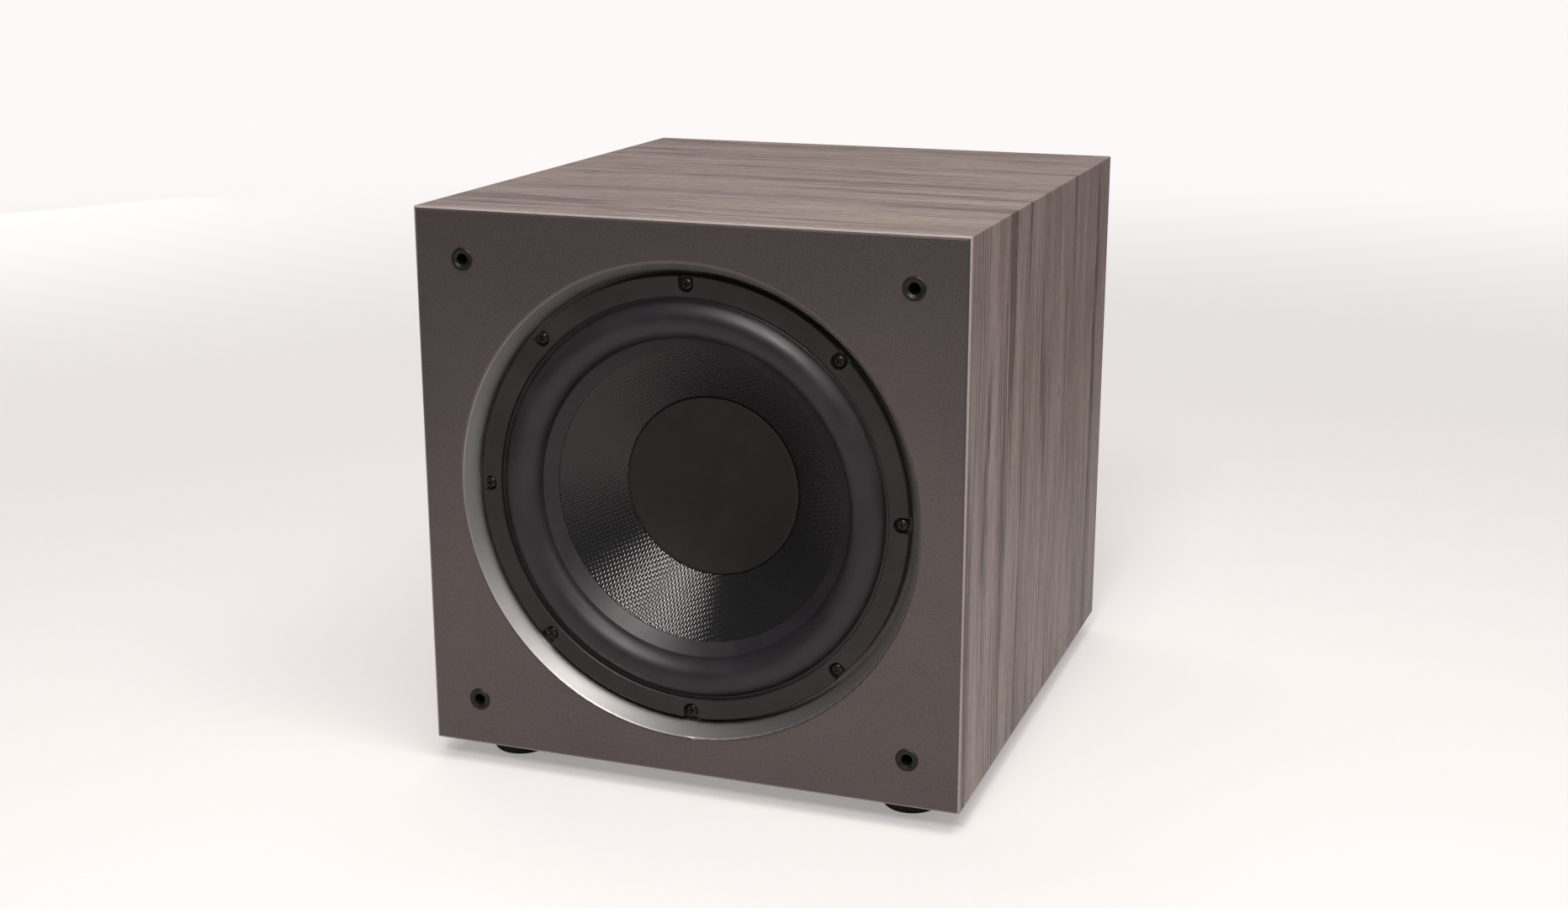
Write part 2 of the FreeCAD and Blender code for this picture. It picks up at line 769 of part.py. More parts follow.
def spider():
    """Corrugated disc from the former to the shelf: a collar, arcs and a flat outer land."""
    collar = former_radius + seat_gap
    first = collar + 1.0
    step = (shelf_inner_radius - 1.0 - first) / (2 * spider_waves)
    level = shelf_front - spider_thickness
    front_side = [(first, level)]
    back_side = [(first, level + spider_thickness)]
    for i in range(2 * spider_waves):
        swing = spider_wave if i % 2 else -spider_wave
        centre = first + (i + 0.5) * step
        end = first + (i + 1) * step
        front_side.append(((centre, level + swing), (end, level)))
        back_side.append((centre, level + swing + spider_thickness))
        back_side.append((end, level + spider_thickness))
    arcs_back = [back_side[-1]]
    for i in range(2 * spider_waves, 0, -1):
        arcs_back.append((back_side[2 * i - 1], back_side[2 * i - 2]))
    land = shelf_outer_radius - 1.0
    profile = [(collar, level - spider_collar), (first, level - spider_collar)] + front_side
    profile += [(land, level), (land, level + spider_thickness)] + arcs_back
    profile += [(collar, level + spider_thickness)]
    return turned(profile)


def top_plate():
    shape = ring(top_plate_radius, coil_radius + coil_gap, 0, middle, motor_front, magnet_front)
    hole = rod(rivet_radius, rivet_circle(), middle, motor_front - 1, motor_front + top_plate_thickness / 2)
    for cutter in around(hole, rivet_count, 45.0):
        shape = shape.cut(cutter)
    return shape


def basket_rivets():
    head = motor_front - basket_wall
    profile = [(0, head - 1.6), (rivet_radius, head - 1.6), (rivet_radius * 1.8, head - 0.6),
               (rivet_radius * 1.8, head), (rivet_radius, head),
               (rivet_radius, motor_front + top_plate_thickness / 2), (0, motor_front + top_plate_thickness / 2)]
    return around(turned(profile, rivet_circle()), rivet_count, 45.0)


def magnet_rings():
    starts = [magnet_front + i * magnet_height for i in range(magnet_count)]
    return [ring(magnet_radius, magnet_bore_radius, 0, middle, y, y + magnet_height) for y in starts]


def yoke():
    """Back plate and vented pole in one piece."""
    end = magnet_back + back_plate_thickness
    return turned([(pole_vent_radius, motor_front), (pole_radius - 1.0, motor_front),
                   (pole_radius, motor_front + 1.0), (pole_radius, magnet_back), (top_plate_radius, magnet_back),
                   (top_plate_radius, end - 1.5), (top_plate_radius - 1.5, end), (pole_vent_radius + 3, end),
                   (pole_vent_radius, end - 3)])


def terminal_board():
    low = middle + shelf_inner_radius + basket_wall
    high = middle + shelf_outer_radius + terminal_reach
    return block(-terminal_width / 2, terminal_width / 2, shelf_back, shelf_back + terminal_thickness, low, high)


def tab_height():
    return middle + shelf_outer_radius + terminal_reach - tab_width / 2 - 2.0


def terminal_tabs():
    """Blade terminals that stand on the back of the board."""
    tabs = []
    y0 = shelf_back + terminal_thickness
    for x in (-tab_spacing / 2, tab_spacing / 2):
        base = centred(x, tab_height(), 7.0, tab_width, y0, y0 + tab_thickness)
        blade = centred(x, tab_height(), tab_thickness, tab_width, y0, y0 + tab_length)
        tabs.append(base.fuse(blade).removeSplitter())
    return tabs


def tinsel_leads():
    """Flexible braid from the cone's back, out through a window and down to the board."""
    leads = []
    start = former_radius + tinsel_reach
    out = shelf_outer_radius + terminal_reach * 0.55
    y0 = cone_face(start) + cone_thickness + seat_gap
    end = shelf_back - seat_gap
    for x in (-tab_spacing / 2, tab_spacing / 2):
        route = [(x, y0 + 1.0, middle + start), (x, y0 + 5.0, middle + start + 12.0),
                 (x, y0 + 5.5, middle + start + 27.0), (x, y0 + 7.0, middle + out - 7.0),
                 (x, y0 + 13.0, middle + out), (x, end, middle + out + 0.5)]
        leads.append(tube(route, tinsel_radius, "tinsel_leads"))
    return leads


def speaker_lead():
    """Two cores from the blade terminals, over the motor and through the brace, to the board."""
    cores = []
    y0 = shelf_back + terminal_thickness + tab_length + seat_gap
    z0 = tab_height()
    end = board_front - seat_gap
    span = end - y0
    z1 = board_top - lead_entry
    for s in (-1, 1):
        x0 = s * tab_spacing / 2
        route = [(x0, y0, z0), (x0, y0 + 0.18 * span, z0 - 0.1 * lead_sag),
                 (x0 * 0.5, y0 + 0.36 * span, z0 - 0.6 * lead_sag), (x0 * 0.4, y0 + 0.55 * span, z1 - lead_sag),
                 (x0 * 0.5, y0 + 0.73 * span, z1 - 0.8 * lead_sag), (x0 * 0.8, y0 + 0.88 * span, z1 - 0.1 * lead_sag),
                 (x0, end, z1)]
        cores.append(tube(route, lead_radius, "speaker_lead"))
    return cores


# ---- amplifier
def amp_screw_places():
    x = plate_width / 2 - amp_screw_inset
    z = plate_height / 2 - amp_screw_inset
    places = [(sx * x, middle + z * share) for sx in (-1, 1) for share in (-1.0, -1 / 3, 1 / 3, 1.0)]
    return places + [(0.0, middle - z), (0.0, middle + z)]


def switch_places():
    return [(switch_x, height) for height in switch_heights]


def control_places():
    return [(volume_x, control_height), (crossover_x, control_height)]


def jack_places():
    return [(jack_x - i * jack_spacing, jack_height) for i in range(2)]


def inlet_outline(grow):
    """Outside of the inlet's body, which also holds the fuse drawer."""
    width = inlet_width + 2 * inlet_wall + 2 * grow
    low = inlet_height - inlet_body_low - grow
    high = inlet_height + inlet_body_top + grow
    return rounded(width, high - low, 1.5 + grow / 2, inlet_x, (low + high) / 2)


def amp_plate():
    shape = sheet(rounded(plate_width, plate_height, plate_corner, 0.0, middle), plate_inner, plate_outer)
    y0 = plate_inner - 1
    y1 = plate_outer + 1
    cutters = [rod(amp_screw_radius + thread_gap, x, z, y0, y1) for x, z in amp_screw_places()]
    cutters += [rod(bushing_radius + thread_gap, x, z, y0, y1) for x, z in control_places()]
    cutters += [rod(jack_collar_radius - 1.0, x, z, y0, y1) for x, z in jack_places()]
    slot_width = switch_lever_width + switch_travel + 2 * slide_gap
    slot_height = switch_lever_height + 2 * slide_gap
    cutters += [centred(x + switch_travel / 2, z, slot_width, slot_height, y0, y1) for x, z in switch_places()]
    cutters.append(rod(lamp_collar_radius + thread_gap, lamp_x, jack_height, y0, y1))
    cutters.append(rod(clamp_bolt_radius + thread_gap, 0.0, toroid_middle, y0, y1))
    cutters.append(centred(rocker_x, rocker_height, rocker_body_width() + 2 * thread_gap,
                           rocker_body_length() + 2 * thread_gap, y0, y1))
    cutters.append(sheet(inlet_outline(thread_gap), y0, y1))
    for cutter in cutters:
        shape = shape.cut(cutter)
    return shape


def amp_seal():
    outer = sheet(rounded(plate_width - 2.0, plate_height - 2.0, plate_corner, 0.0, middle),
                  rear_outer, plate_inner)
    inner = sheet(rounded(hole_width + 2.0, hole_height + 2.0, plate_corner, 0.0, middle),
                  rear_outer - 1, plate_inner + 1)
    shape = outer.cut(inner)
    for x, z in amp_screw_places():
        shape = shape.cut(rod(amp_screw_radius + thread_gap, x, z, rear_outer - 1, plate_inner + 1))
    return shape


def amp_screws():
    """Pan-head wood screws with a cross recess."""
    head = plate_outer + amp_screw_head_height
    tip = plate_outer - amp_screw_length
    screws = []
    for x, z in amp_screw_places():
        screw = turned([(0, head), (amp_screw_head_radius * 0.5, head),
                        ((amp_screw_head_radius * 0.88, head - 0.6), (amp_screw_head_radius, head - 1.5)),
                        (amp_screw_head_radius, plate_outer), (amp_screw_radius, plate_outer),
                        (amp_screw_radius, tip + 3.0), (0.2, tip), (0, tip)], x, z)
        for width, height in ((0.9, 3.8), (3.8, 0.9)):
            screw = screw.cut(centred(x, z, width, height, head - 1.2, head + 1))
        screws.append(screw)
    return screws


def standoff_places():
    return [(x, board_middle + z)
            for x, z in corners(board_width / 2 - standoff_inset, board_height / 2 - standoff_inset)]


def amp_board():
    shape = centred(0.0, board_middle, board_width, board_height, board_front, board_back)
    for x, z in standoff_places():
        shape = shape.cut(rod(standoff_radius / 2 + thread_gap, x, z, board_front - 1, board_back + 1))
    return shape


def board_standoffs():
    """Pillars pressed on the plate's inner face, with a stud and head that hold the board."""
    head = board_front - 1.4
    profile = [(0, head), (standoff_radius, head), (standoff_radius, board_front),
               (standoff_radius / 2, board_front), (standoff_radius / 2, board_back),
               (standoff_radius, board_back), (standoff_radius, plate_inner), (0, plate_inner)]
    return [turned(profile, x, z) for x, z in standoff_places()]


def filter_capacitors():
    """Electrolytic cans standing on the board, with a rolled groove near the foot."""
    tip = board_front - capacitor_height
    groove = board_front - 5.0
    profile = [(0, tip), (capacitor_radius - 1.0, tip), (capacitor_radius, tip + 1.0),
               (capacitor_radius, groove - 1.0), (capacitor_radius - 1.0, groove), (capacitor_radius, groove + 1.0),
               (capacitor_radius, board_front), (0, board_front)]
    places = [(s * capacitor_spacing / 2, board_middle - 8.0) for s in (-1, 1)]
    return [turned(profile, x, z) for x, z in places]


def heat_spreader():
    """Aluminium angle bolted on the plate above the board."""
    low = spreader_low
    half = spreader_length / 2
    foot = block(-half, half, plate_inner - spreader_thickness, plate_inner, low, low + spreader_foot)
    shelf = block(-half, half, plate_inner - spreader_reach, plate_inner, low, low + spreader_thickness)
    return foot.fuse(shelf).removeSplitter()


def output_transistors():
    """Flat packages clamped under the angle, with their legs on the board."""
    bodies = []
    high = spreader_low
    y1 = board_front - 2.0
    pitch = spreader_length / transistor_count
    for i in range(transistor_count):
        x = (i - (transistor_count - 1) / 2) * pitch
        body = block(x - transistor_width / 2, x + transistor_width / 2, y1 - transistor_height, y1,
                     high - transistor_thickness, high)
        for leg in (-5.4, 0.0, 5.4):
            body = body.fuse(centred(x + leg, high - transistor_thickness / 2, 1.2, 0.7, y1, board_front))
        bodies.append(body)
    return bodies


def power_transformer():
    face = plate_inner - toroid_pad_thickness
    tip = face - toroid_height
    turn = toroid_edge * (1 - math.sqrt(0.5))
    profile = [(toroid_bore_radius, tip + toroid_edge),
               ((toroid_bore_radius + turn, tip + turn), (toroid_bore_radius + toroid_edge, tip)),
               (toroid_radius - toroid_edge, tip),
               ((toroid_radius - turn, tip + turn), (toroid_radius, tip + toroid_edge)),
               (toroid_radius, face - toroid_edge),
               ((toroid_radius - turn, face - turn), (toroid_radius - toroid_edge, face)),
               (toroid_bore_radius + toroid_edge, face),
               ((toroid_bore_radius + turn, face - turn), (toroid_bore_radius, face - toroid_edge))]
    return turned(profile, 0.0, toroid_middle)


def transformer_pads():
    z = toroid_middle
    hole = clamp_bolt_radius + thread_gap
    tip = plate_inner - toroid_pad_thickness - toroid_height
    wide = toroid_radius - toroid_edge
    return [ring(wide, hole, 0.0, z, plate_inner - toroid_pad_thickness, plate_inner),
            ring(wide, hole, 0.0, z, tip - toroid_pad_thickness, tip)]


def transformer_mount():
    """Bolt from outside the plate, with a washer and a nut over the transformer, and its two pads."""
    z = toroid_middle
    face = plate_inner - 2 * toroid_pad_thickness - toroid_height
    head = clamp_bolt_radius * 2
    end = face - clamp_thickness - clamp_nut_height - 3.0
    bolt = turned([(0, end), (clamp_bolt_radius, end), (clamp_bolt_radius, plate_outer), (head, plate_outer),
                   (head, plate_outer + 1.6), (head - 1.4, plate_outer + 3.0), (0, plate_outer + 3.0)], 0.0, z)
    socket = sheet(hexagon(4.0, 0.0, z), plate_outer + 1.2, plate_outer + 4.0)
    washer = ring(clamp_radius, clamp_bolt_radius + thread_gap, 0.0, z, face - clamp_thickness, face)
    nut = sheet(hexagon(10.0, 0.0, z), face - clamp_thickness - clamp_nut_height, face - clamp_thickness)
    nut = nut.cut(rod(clamp_bolt_radius + thread_gap, 0.0, z, face - clamp_nut_height - 3, face))
    return [bolt.cut(socket), washer, nut] + transformer_pads()


def control_pots():
    """Potentiometer cans behind the plate, each with a threaded bushing through it."""
    pots = []
    face = plate_inner
    bore = shaft_radius + shaft_clearance
    for x, z in control_places():
        profile = [(bore, face + bushing_length), (bushing_radius, face + bushing_length), (bushing_radius, face),
                   (pot_radius, face), (pot_radius, face - pot_depth), (0, face - pot_depth),
                   (0, face - pot_depth + 2.0), (bore, face - pot_depth + 2.0)]
        pins = centred(x, z - pot_radius + 0.5, 11.0, 3.0, board_back, face - pot_depth + 3.0)
        can = turned(profile, x, z)
        pots.append(can.fuse(pins))
    return pots


def pot_nuts():
    nuts = []
    for x, z in control_places():
        nut = sheet(hexagon(nut_flats, x, z), plate_outer, plate_outer + nut_height)
        nuts.append(nut.cut(rod(bushing_radius + thread_gap, x, z, plate_outer - 1, plate_outer + nut_height + 1)))
    return nuts


def shaft_end():
    return plate_outer + shaft_length


def control_shaft(x, z):
    start = plate_inner - pot_depth + 2.0 + seat_gap
    return rod(shaft_radius, x, z, start, shaft_end())


def control_knob(x, z):
    """Grooved cap with a pointer line, hollow underneath so that it clears the nut."""
    base = plate_outer + knob_gap
    tip = base + knob_height
    hollow = knob_radius - knob_skirt
    bore = shaft_radius + thread_gap / 5
    inside = plate_outer + max(nut_height, bushing_length - plate_thickness) + 1.0
    profile = [(hollow, base), (knob_radius, base), (knob_radius, base + 1.4), (knob_radius - 0.8, base + 1.8),
               (knob_radius - 1.3, tip - 1.0), (knob_radius - 2.3, tip), (0, tip), (0, shaft_end() + seat_gap / 3),
               (bore, shaft_end() + seat_gap / 3), (bore, inside), (hollow, inside)]
    knob = turned(profile, x, z)
    for i in range(knob_groove_count):
        angle = 2 * math.pi * (i + 0.5) / knob_groove_count + math.pi / 2
        gx = x + (knob_radius + 0.1) * math.cos(angle)
        gz = z + (knob_radius + 0.1) * math.sin(angle)
        knob = knob.cut(rod(1.0, gx, gz, base + 2.0, tip + 1))
    line = centred(x, z + knob_radius / 2 + 1.0, pointer_width, knob_radius, tip - 0.5, tip + 1)
    return knob.cut(line)


def switch_body(x, z):
    """Case behind the plate with a pocket in which the lever's foot slides."""
    cx = x + switch_travel / 2
    shape = centred(cx, z, switch_body_width, switch_body_height, plate_inner - switch_body_depth, plate_inner)
    pocket = centred(cx, z, switch_foot_width() + switch_travel + 2 * slide_gap,
                     switch_body_height - 2 * switch_wall, plate_inner - switch_body_depth + switch_wall,
                     plate_inner + 1)
    legs = centred(cx, z, switch_body_width - 4.0, 1.0, board_back, plate_inner - switch_body_depth)
    return shape.cut(pocket).fuse(legs)


def switch_foot_width():
    return switch_lever_width + 4.0


def switch_lever(x, z):
    """Lever at the left-hand stop, with a foot inside the case."""
    foot = centred(x, z, switch_foot_width(), switch_body_height - 2 * switch_wall - 2 * slide_gap,
                   plate_inner - switch_body_depth + switch_wall + slide_gap, plate_inner - slide_gap)
    stem = centred(x, z, switch_lever_width, switch_lever_height, plate_inner - slide_gap - 1.0,
                   plate_outer + switch_lever_reach)
    lever = foot.fuse(stem).removeSplitter()
    for i in (-1, 0, 1):
        rib = centred(x + i * 1.2, z, 0.5, switch_lever_height + 1, plate_outer + switch_lever_reach - 0.5,
                      plate_outer + switch_lever_reach + 1)
        lever = lever.cut(rib)
    return lever


def phono_jacks():
    """Plated barrels that a phono plug's shell slides over."""
    jacks = []
    for x, z in jack_places():
        tip = plate_outer + jack_length
        profile = [(jack_bore_radius, plate_inner + 0.5), (jack_bore_radius, tip - 0.3),
                   (jack_bore_radius + 0.3, tip), (jack_radius - 0.3, tip), (jack_radius, tip - 0.3),
                   (jack_radius, plate_outer + jack_collar_height + 0.2),
                   (jack_radius + 0.8, plate_outer + jack_collar_height), (jack_radius + 0.8, plate_inner + 0.5)]
        jacks.append(turned(profile, x, z))
    return jacks


def phono_insulators():
    """Moulded collar and body of each jack, with the sleeve that holds the centre contact."""
    moulds = []
    for x, z in jack_places():
        tip = plate_outer + jack_length - 1.2
        sleeve = jack_radius + 0.8 + thread_gap / 5
        profile = [(jack_pin_radius, plate_inner - 2.0), (jack_pin_radius, tip), (jack_bore_radius - 0.05, tip),
                   (jack_bore_radius - 0.05, plate_inner), (sleeve, plate_inner),
                   (sleeve, plate_outer + jack_collar_height),
                   (jack_collar_radius, plate_outer + jack_collar_height - 0.4), (jack_collar_radius, plate_outer),
                   (jack_collar_radius - 1.0 - thread_gap, plate_outer),
                   (jack_collar_radius - 1.0 - thread_gap, plate_inner - 2.0)]
        body = centred(x, z, jack_body_size, jack_body_size, plate_inner - jack_body_depth, plate_inner)
        body = body.cut(rod(jack_bore_radius, x, z, plate_inner - 2.0, plate_inner + 1))
        pins = centred(x, z, jack_body_size - 5.0, 1.0, board_back, plate_inner - jack_body_depth)
        moulds.append(turned(profile, x, z).fuse(body).fuse(pins))
    return moulds


def status_lamp():
    x = lamp_x
    z = jack_height
    tip = plate_outer + 1.6
    profile = [(0, tip), ((lamp_radius * 0.75, tip - 0.45), (lamp_radius, plate_outer + 0.4)),
               (lamp_collar_radius, plate_outer + 0.4), (lamp_collar_radius, board_back), (0, board_back)]
    return turned(profile, x, z)


def rocker_body_width():
    return rocker_width + 2 * slide_gap + 2 * switch_wall


def rocker_body_length():
    return rocker_length + 2 * slide_gap + 2 * switch_wall


def rocker_housing():
    """Snap-in case with a bezel; the rocker's trunnions turn in its side walls."""
    x = rocker_x
    z = rocker_height
    bezel = sheet(rounded(rocker_body_width() + rocker_bezel, rocker_body_length() + rocker_bezel, 1.2, x, z),
                  plate_outer, plate_outer + rocker_bezel_height)
    body = centred(x, z, rocker_body_width(), rocker_body_length(), plate_outer - rocker_depth, plate_outer + 0.5)
    cavity = centred(x, z, rocker_width + 2 * slide_gap, rocker_length + 2 * slide_gap,
                     plate_outer - rocker_depth + 3.0, plate_outer + rocker_bezel_height + 1)
    shape = bezel.fuse(body).cut(cavity)
    half = rocker_body_width() / 2 + 1
    holes = Part.makeCylinder(rocker_trunnion + shaft_clearance, 2 * half, Vector(x - half, rocker_pivot(), z),
                              Vector(1, 0, 0))
    shape = shape.cut(holes)
    tags = [centred(x, z + dz, tab_width, tab_thickness, plate_outer - rocker_depth - rocker_tag_length,
                    plate_outer - rocker_depth) for dz in (-rocker_tag_rise, rocker_tag_rise)]
    for tag in tags:
        shape = shape.fuse(tag)
    return shape


def rocker_pivot():
    """Place of the rocker's axis along Y, just inside the plate."""
    return plate_inner - 2.0


def power_rocker():
    """Round-backed rocker with a shallow V face, tilted to its off side."""
    x = rocker_x
    z = rocker_height
    pivot = rocker_pivot()
    reach = rocker_length / 2
    height = plate_outer + rocker_bezel_height - 0.4 - pivot
    rise = reach * math.tan(math.radians(rocker_tilt)) * 0.5
    end = math.sqrt(reach ** 2 - (height * 0.6) ** 2)
    profile = [(pivot + height * 0.6, z - end), (pivot + height * 0.6 + rise, z - end + 0.4), (pivot + height, z),
               (pivot + height * 0.6 + rise, z + end - 0.4), (pivot + height * 0.6, z + end),
               ((pivot - reach, z), (pivot + height * 0.6, z - end))]
    body = bar(profile, x - rocker_width / 2, x + rocker_width / 2)
    pin = rocker_width / 2 + slide_gap + switch_wall - 0.2
    trunnions = Part.makeCylinder(rocker_trunnion, 2 * pin, Vector(x - pin, pivot, z), Vector(1, 0, 0))
    shape = body.fuse(trunnions)
    shape.rotate(Vector(x, pivot, z), Vector(1, 0, 0), rocker_tilt)
    return shape


def mains_inlet():
    """Appliance inlet: flange, body, a socket for the connector and a pocket for the fuse drawer."""
    z = inlet_height
    flange = sheet(inlet_outline(inlet_flange), plate_outer, plate_outer + inlet_flange_height)
    inner = pin_inner() + pin_tail
    body = sheet(inlet_outline(0.0), inner, plate_outer + 0.5)
    cavity_points = [(inlet_x - inlet_width / 2, z - inlet_opening / 2), (inlet_x + inlet_width / 2, z - inlet_opening / 2),
                     (inlet_x + inlet_width / 2, z + inlet_opening / 2 - 4.0),
                     (inlet_x + inlet_width / 2 - 4.0, z + inlet_opening / 2),
                     (inlet_x - inlet_width / 2 + 4.0, z + inlet_opening / 2),
                     (inlet_x - inlet_width / 2, z + inlet_opening / 2 - 4.0)]
    cavity = sheet(cavity_points, plate_outer + inlet_flange_height - inlet_depth, plate_outer + 5.0)
    pocket = centred(inlet_x, z - drawer_middle(), drawer_width + 2 * slide_gap, drawer_height + 2 * slide_gap,
                     drawer_inner() - slide_gap, plate_outer + 5.0)
    shape = flange.fuse(body).cut(cavity).cut(pocket)
    for x, dz in pin_places():
        shape = shape.cut(centred(x, z + dz, pin_width, pin_height, inner - 5.0, plate_outer))
    return shape


def drawer_middle():
    return inlet_opening / 2 + inlet_wall + drawer_height / 2


def drawer_inner():
    return plate_outer + inlet_flange_height - drawer_depth


def pin_inner():
    """Inner end of the inlet's pins, behind its body."""
    return min(plate_outer + inlet_flange_height - inlet_depth - inlet_floor, drawer_inner() - inlet_wall) - pin_tail


def pin_places():
    """Two live pins side by side and the earth pin above them, from the inlet's middle."""
    low = -pin_rise / 2
    return [(inlet_x - pin_spacing / 2, low), (inlet_x + pin_spacing / 2, low), (inlet_x, low + pin_rise)]


def inlet_pins():
    z = inlet_height
    floor = plate_outer + inlet_flange_height - inlet_depth
    return [centred(x, z + dz, pin_width, pin_height, pin_inner(), floor + pin_length) for x, dz in pin_places()]


def fuse_drawer():
    """Drawer with a finger ledge and a trough across its inner end for the fuse."""
    z = inlet_height - drawer_middle()
    face = plate_outer + inlet_flange_height
    shape = centred(inlet_x, z, drawer_width, drawer_height, drawer_inner(), face)
    ledge = centred(inlet_x, z, drawer_width * 0.45, 1.6, face - 0.5, face + 1.2)
    trough = centred(inlet_x, z + drawer_height / 2 - fuse_radius, fuse_length + 0.4, 2 * fuse_radius + 0.2,
                     fuse_place() - fuse_radius - 0.2, fuse_place() + fuse_radius + 0.2)
    return shape.fuse(ledge).cut(trough)


def fuse_place():
    return drawer_inner() + 2.0 + fuse_radius


def fuse():
    z = inlet_height - drawer_middle() + drawer_height / 2 - fuse_radius - 0.1 + 0.05
    return Part.makeCylinder(fuse_radius, fuse_length, Vector(inlet_x - fuse_length / 2, fuse_place(), z),
                             Vector(1, 0, 0))


def mains_leads():
    """Live core from the inlet to the rocker, and the primary leads from both to the transformer."""
    z = inlet_height
    tail = pin_inner() - seat_gap
    tag = plate_outer - rocker_depth - rocker_tag_length - seat_gap
    low = z - pin_rise / 2
    x0 = inlet_x - pin_spacing / 2
    run = min(tail, tag) - mains_loop
    switched = [(x0, tail, low), (x0 - 0.05 * mains_loop, tail - 0.5 * mains_loop, low - 1.0),
                (x0 - 0.7 * mains_loop, run, low - 2.0), (0.5 * (x0 + rocker_x), run - 0.2 * mains_loop, z - 6.0),
                (rocker_x + 0.7 * mains_loop, run, rocker_height - 3.0),
                (rocker_x + 0.05 * mains_loop, tag - 0.5 * mains_loop, rocker_height - rocker_tag_rise - 0.5),
                (rocker_x, tag, rocker_height - rocker_tag_rise)]
    return [tube(switched, lead_radius, "mains_leads")]


def main():
    os.makedirs("parts", exist_ok=True)
    (volume_at, crossover_at), (phase_at, mode_at) = control_places(), switch_places()
    nodes = {
        "front_baffle": front_baffle(), "top_panel": wall_panel(0, 1), "bottom_panel": bottom_panel(),
        "left_side_panel": wall_panel(-1, 0), "right_side_panel": wall_panel(1, 0), "rear_panel": rear_panel(),
        "window_brace": window_brace(), "acoustic_lining": acoustic_lining(),
        "grille_sockets": grille_sockets(), "feet": feet(), "foot_screws": foot_screws(),
        "driver_basket": driver_basket(), "driver_seal": driver_seal(), "gasket_ring": gasket_ring(),
        "driver_screws": driver_screws(), "driver_tee_nuts": driver_tee_nuts(), "surround": surround(),
        "cone": cone(), "dust_cap": dust_cap(), "voice_coil_former": voice_coil_former(),
        "voice_coil": voice_coil(), "spider": spider(), "top_plate": top_plate(),
        "basket_rivets": basket_rivets(), "magnet_rings": magnet_rings(), "yoke": yoke(),
        "terminal_board": terminal_board(), "terminal_tabs": terminal_tabs(), "tinsel_leads": tinsel_leads(),
        "speaker_lead": speaker_lead(),
        "amp_plate": amp_plate(), "amp_seal": amp_seal(), "amp_screws": amp_screws(), "amp_board": amp_board(),
        "board_standoffs": board_standoffs(), "filter_capacitors": filter_capacitors(),
        "heat_spreader": heat_spreader(), "output_transistors": output_transistors(),
        "power_transformer": power_transformer(), "transformer_mount": transformer_mount(),
        "control_pots": control_pots(), "pot_nuts": pot_nuts(),
        "volume_shaft": control_shaft(*volume_at), "volume_knob": control_knob(*volume_at),
        "crossover_shaft": control_shaft(*crossover_at), "crossover_knob": control_knob(*crossover_at),
        "phase_switch_case": switch_body(*phase_at), "phase_switch_lever": switch_lever(*phase_at),
        "mode_switch_case": switch_body(*mode_at), "mode_switch_lever": switch_lever(*mode_at),
        "phono_jacks": phono_jacks(), "phono_insulators": phono_insulators(), "status_lamp": status_lamp(),
        "rocker_housing": rocker_housing(), "power_rocker": power_rocker(), "mains_inlet": mains_inlet(),
        "inlet_pins": inlet_pins(), "fuse_drawer": fuse_drawer(), "fuse": fuse(), "mains_leads": mains_leads(),
    }
    for name, shapes in nodes.items():
        save(name, shapes)
    print(len(nodes), "nodes")


main()
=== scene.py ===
import json
import math
import bmesh
import bpy
import numpy as np
from mathutils import Matrix, Vector


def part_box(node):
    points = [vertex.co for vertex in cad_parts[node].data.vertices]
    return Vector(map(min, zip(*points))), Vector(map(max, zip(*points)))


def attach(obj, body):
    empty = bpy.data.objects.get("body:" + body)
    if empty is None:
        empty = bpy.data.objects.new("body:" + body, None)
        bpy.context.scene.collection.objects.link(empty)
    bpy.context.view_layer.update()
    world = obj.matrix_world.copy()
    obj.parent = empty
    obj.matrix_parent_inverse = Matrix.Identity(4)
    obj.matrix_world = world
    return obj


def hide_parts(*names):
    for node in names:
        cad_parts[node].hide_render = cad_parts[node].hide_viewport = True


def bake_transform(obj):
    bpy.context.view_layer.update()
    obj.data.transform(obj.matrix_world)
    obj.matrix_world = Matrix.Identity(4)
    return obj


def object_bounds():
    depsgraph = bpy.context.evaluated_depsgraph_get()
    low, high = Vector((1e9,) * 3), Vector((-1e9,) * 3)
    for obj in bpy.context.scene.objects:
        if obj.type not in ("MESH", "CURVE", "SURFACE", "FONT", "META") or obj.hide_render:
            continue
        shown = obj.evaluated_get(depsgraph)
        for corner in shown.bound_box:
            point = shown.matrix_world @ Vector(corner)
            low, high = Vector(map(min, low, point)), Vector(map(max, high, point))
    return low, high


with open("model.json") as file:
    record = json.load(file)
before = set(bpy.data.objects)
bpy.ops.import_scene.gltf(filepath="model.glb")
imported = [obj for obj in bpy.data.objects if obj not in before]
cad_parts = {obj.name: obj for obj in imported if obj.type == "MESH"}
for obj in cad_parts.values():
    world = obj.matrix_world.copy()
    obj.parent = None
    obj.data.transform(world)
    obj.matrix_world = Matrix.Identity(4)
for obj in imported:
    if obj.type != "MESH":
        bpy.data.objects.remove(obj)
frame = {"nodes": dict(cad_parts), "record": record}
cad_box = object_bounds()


# ---- camera and lamps
camera_place = (0.43010, -1.20653, 0.50543)
camera_right = (0.940145, 0.340774, -0.000178)
camera_ahead = (-0.32898, 0.90747, -0.26129)
camera_lens = 47.54            # millimetres, on a sensor 36 mm wide
lamp_target = (0.0, 0.0, 0.17)


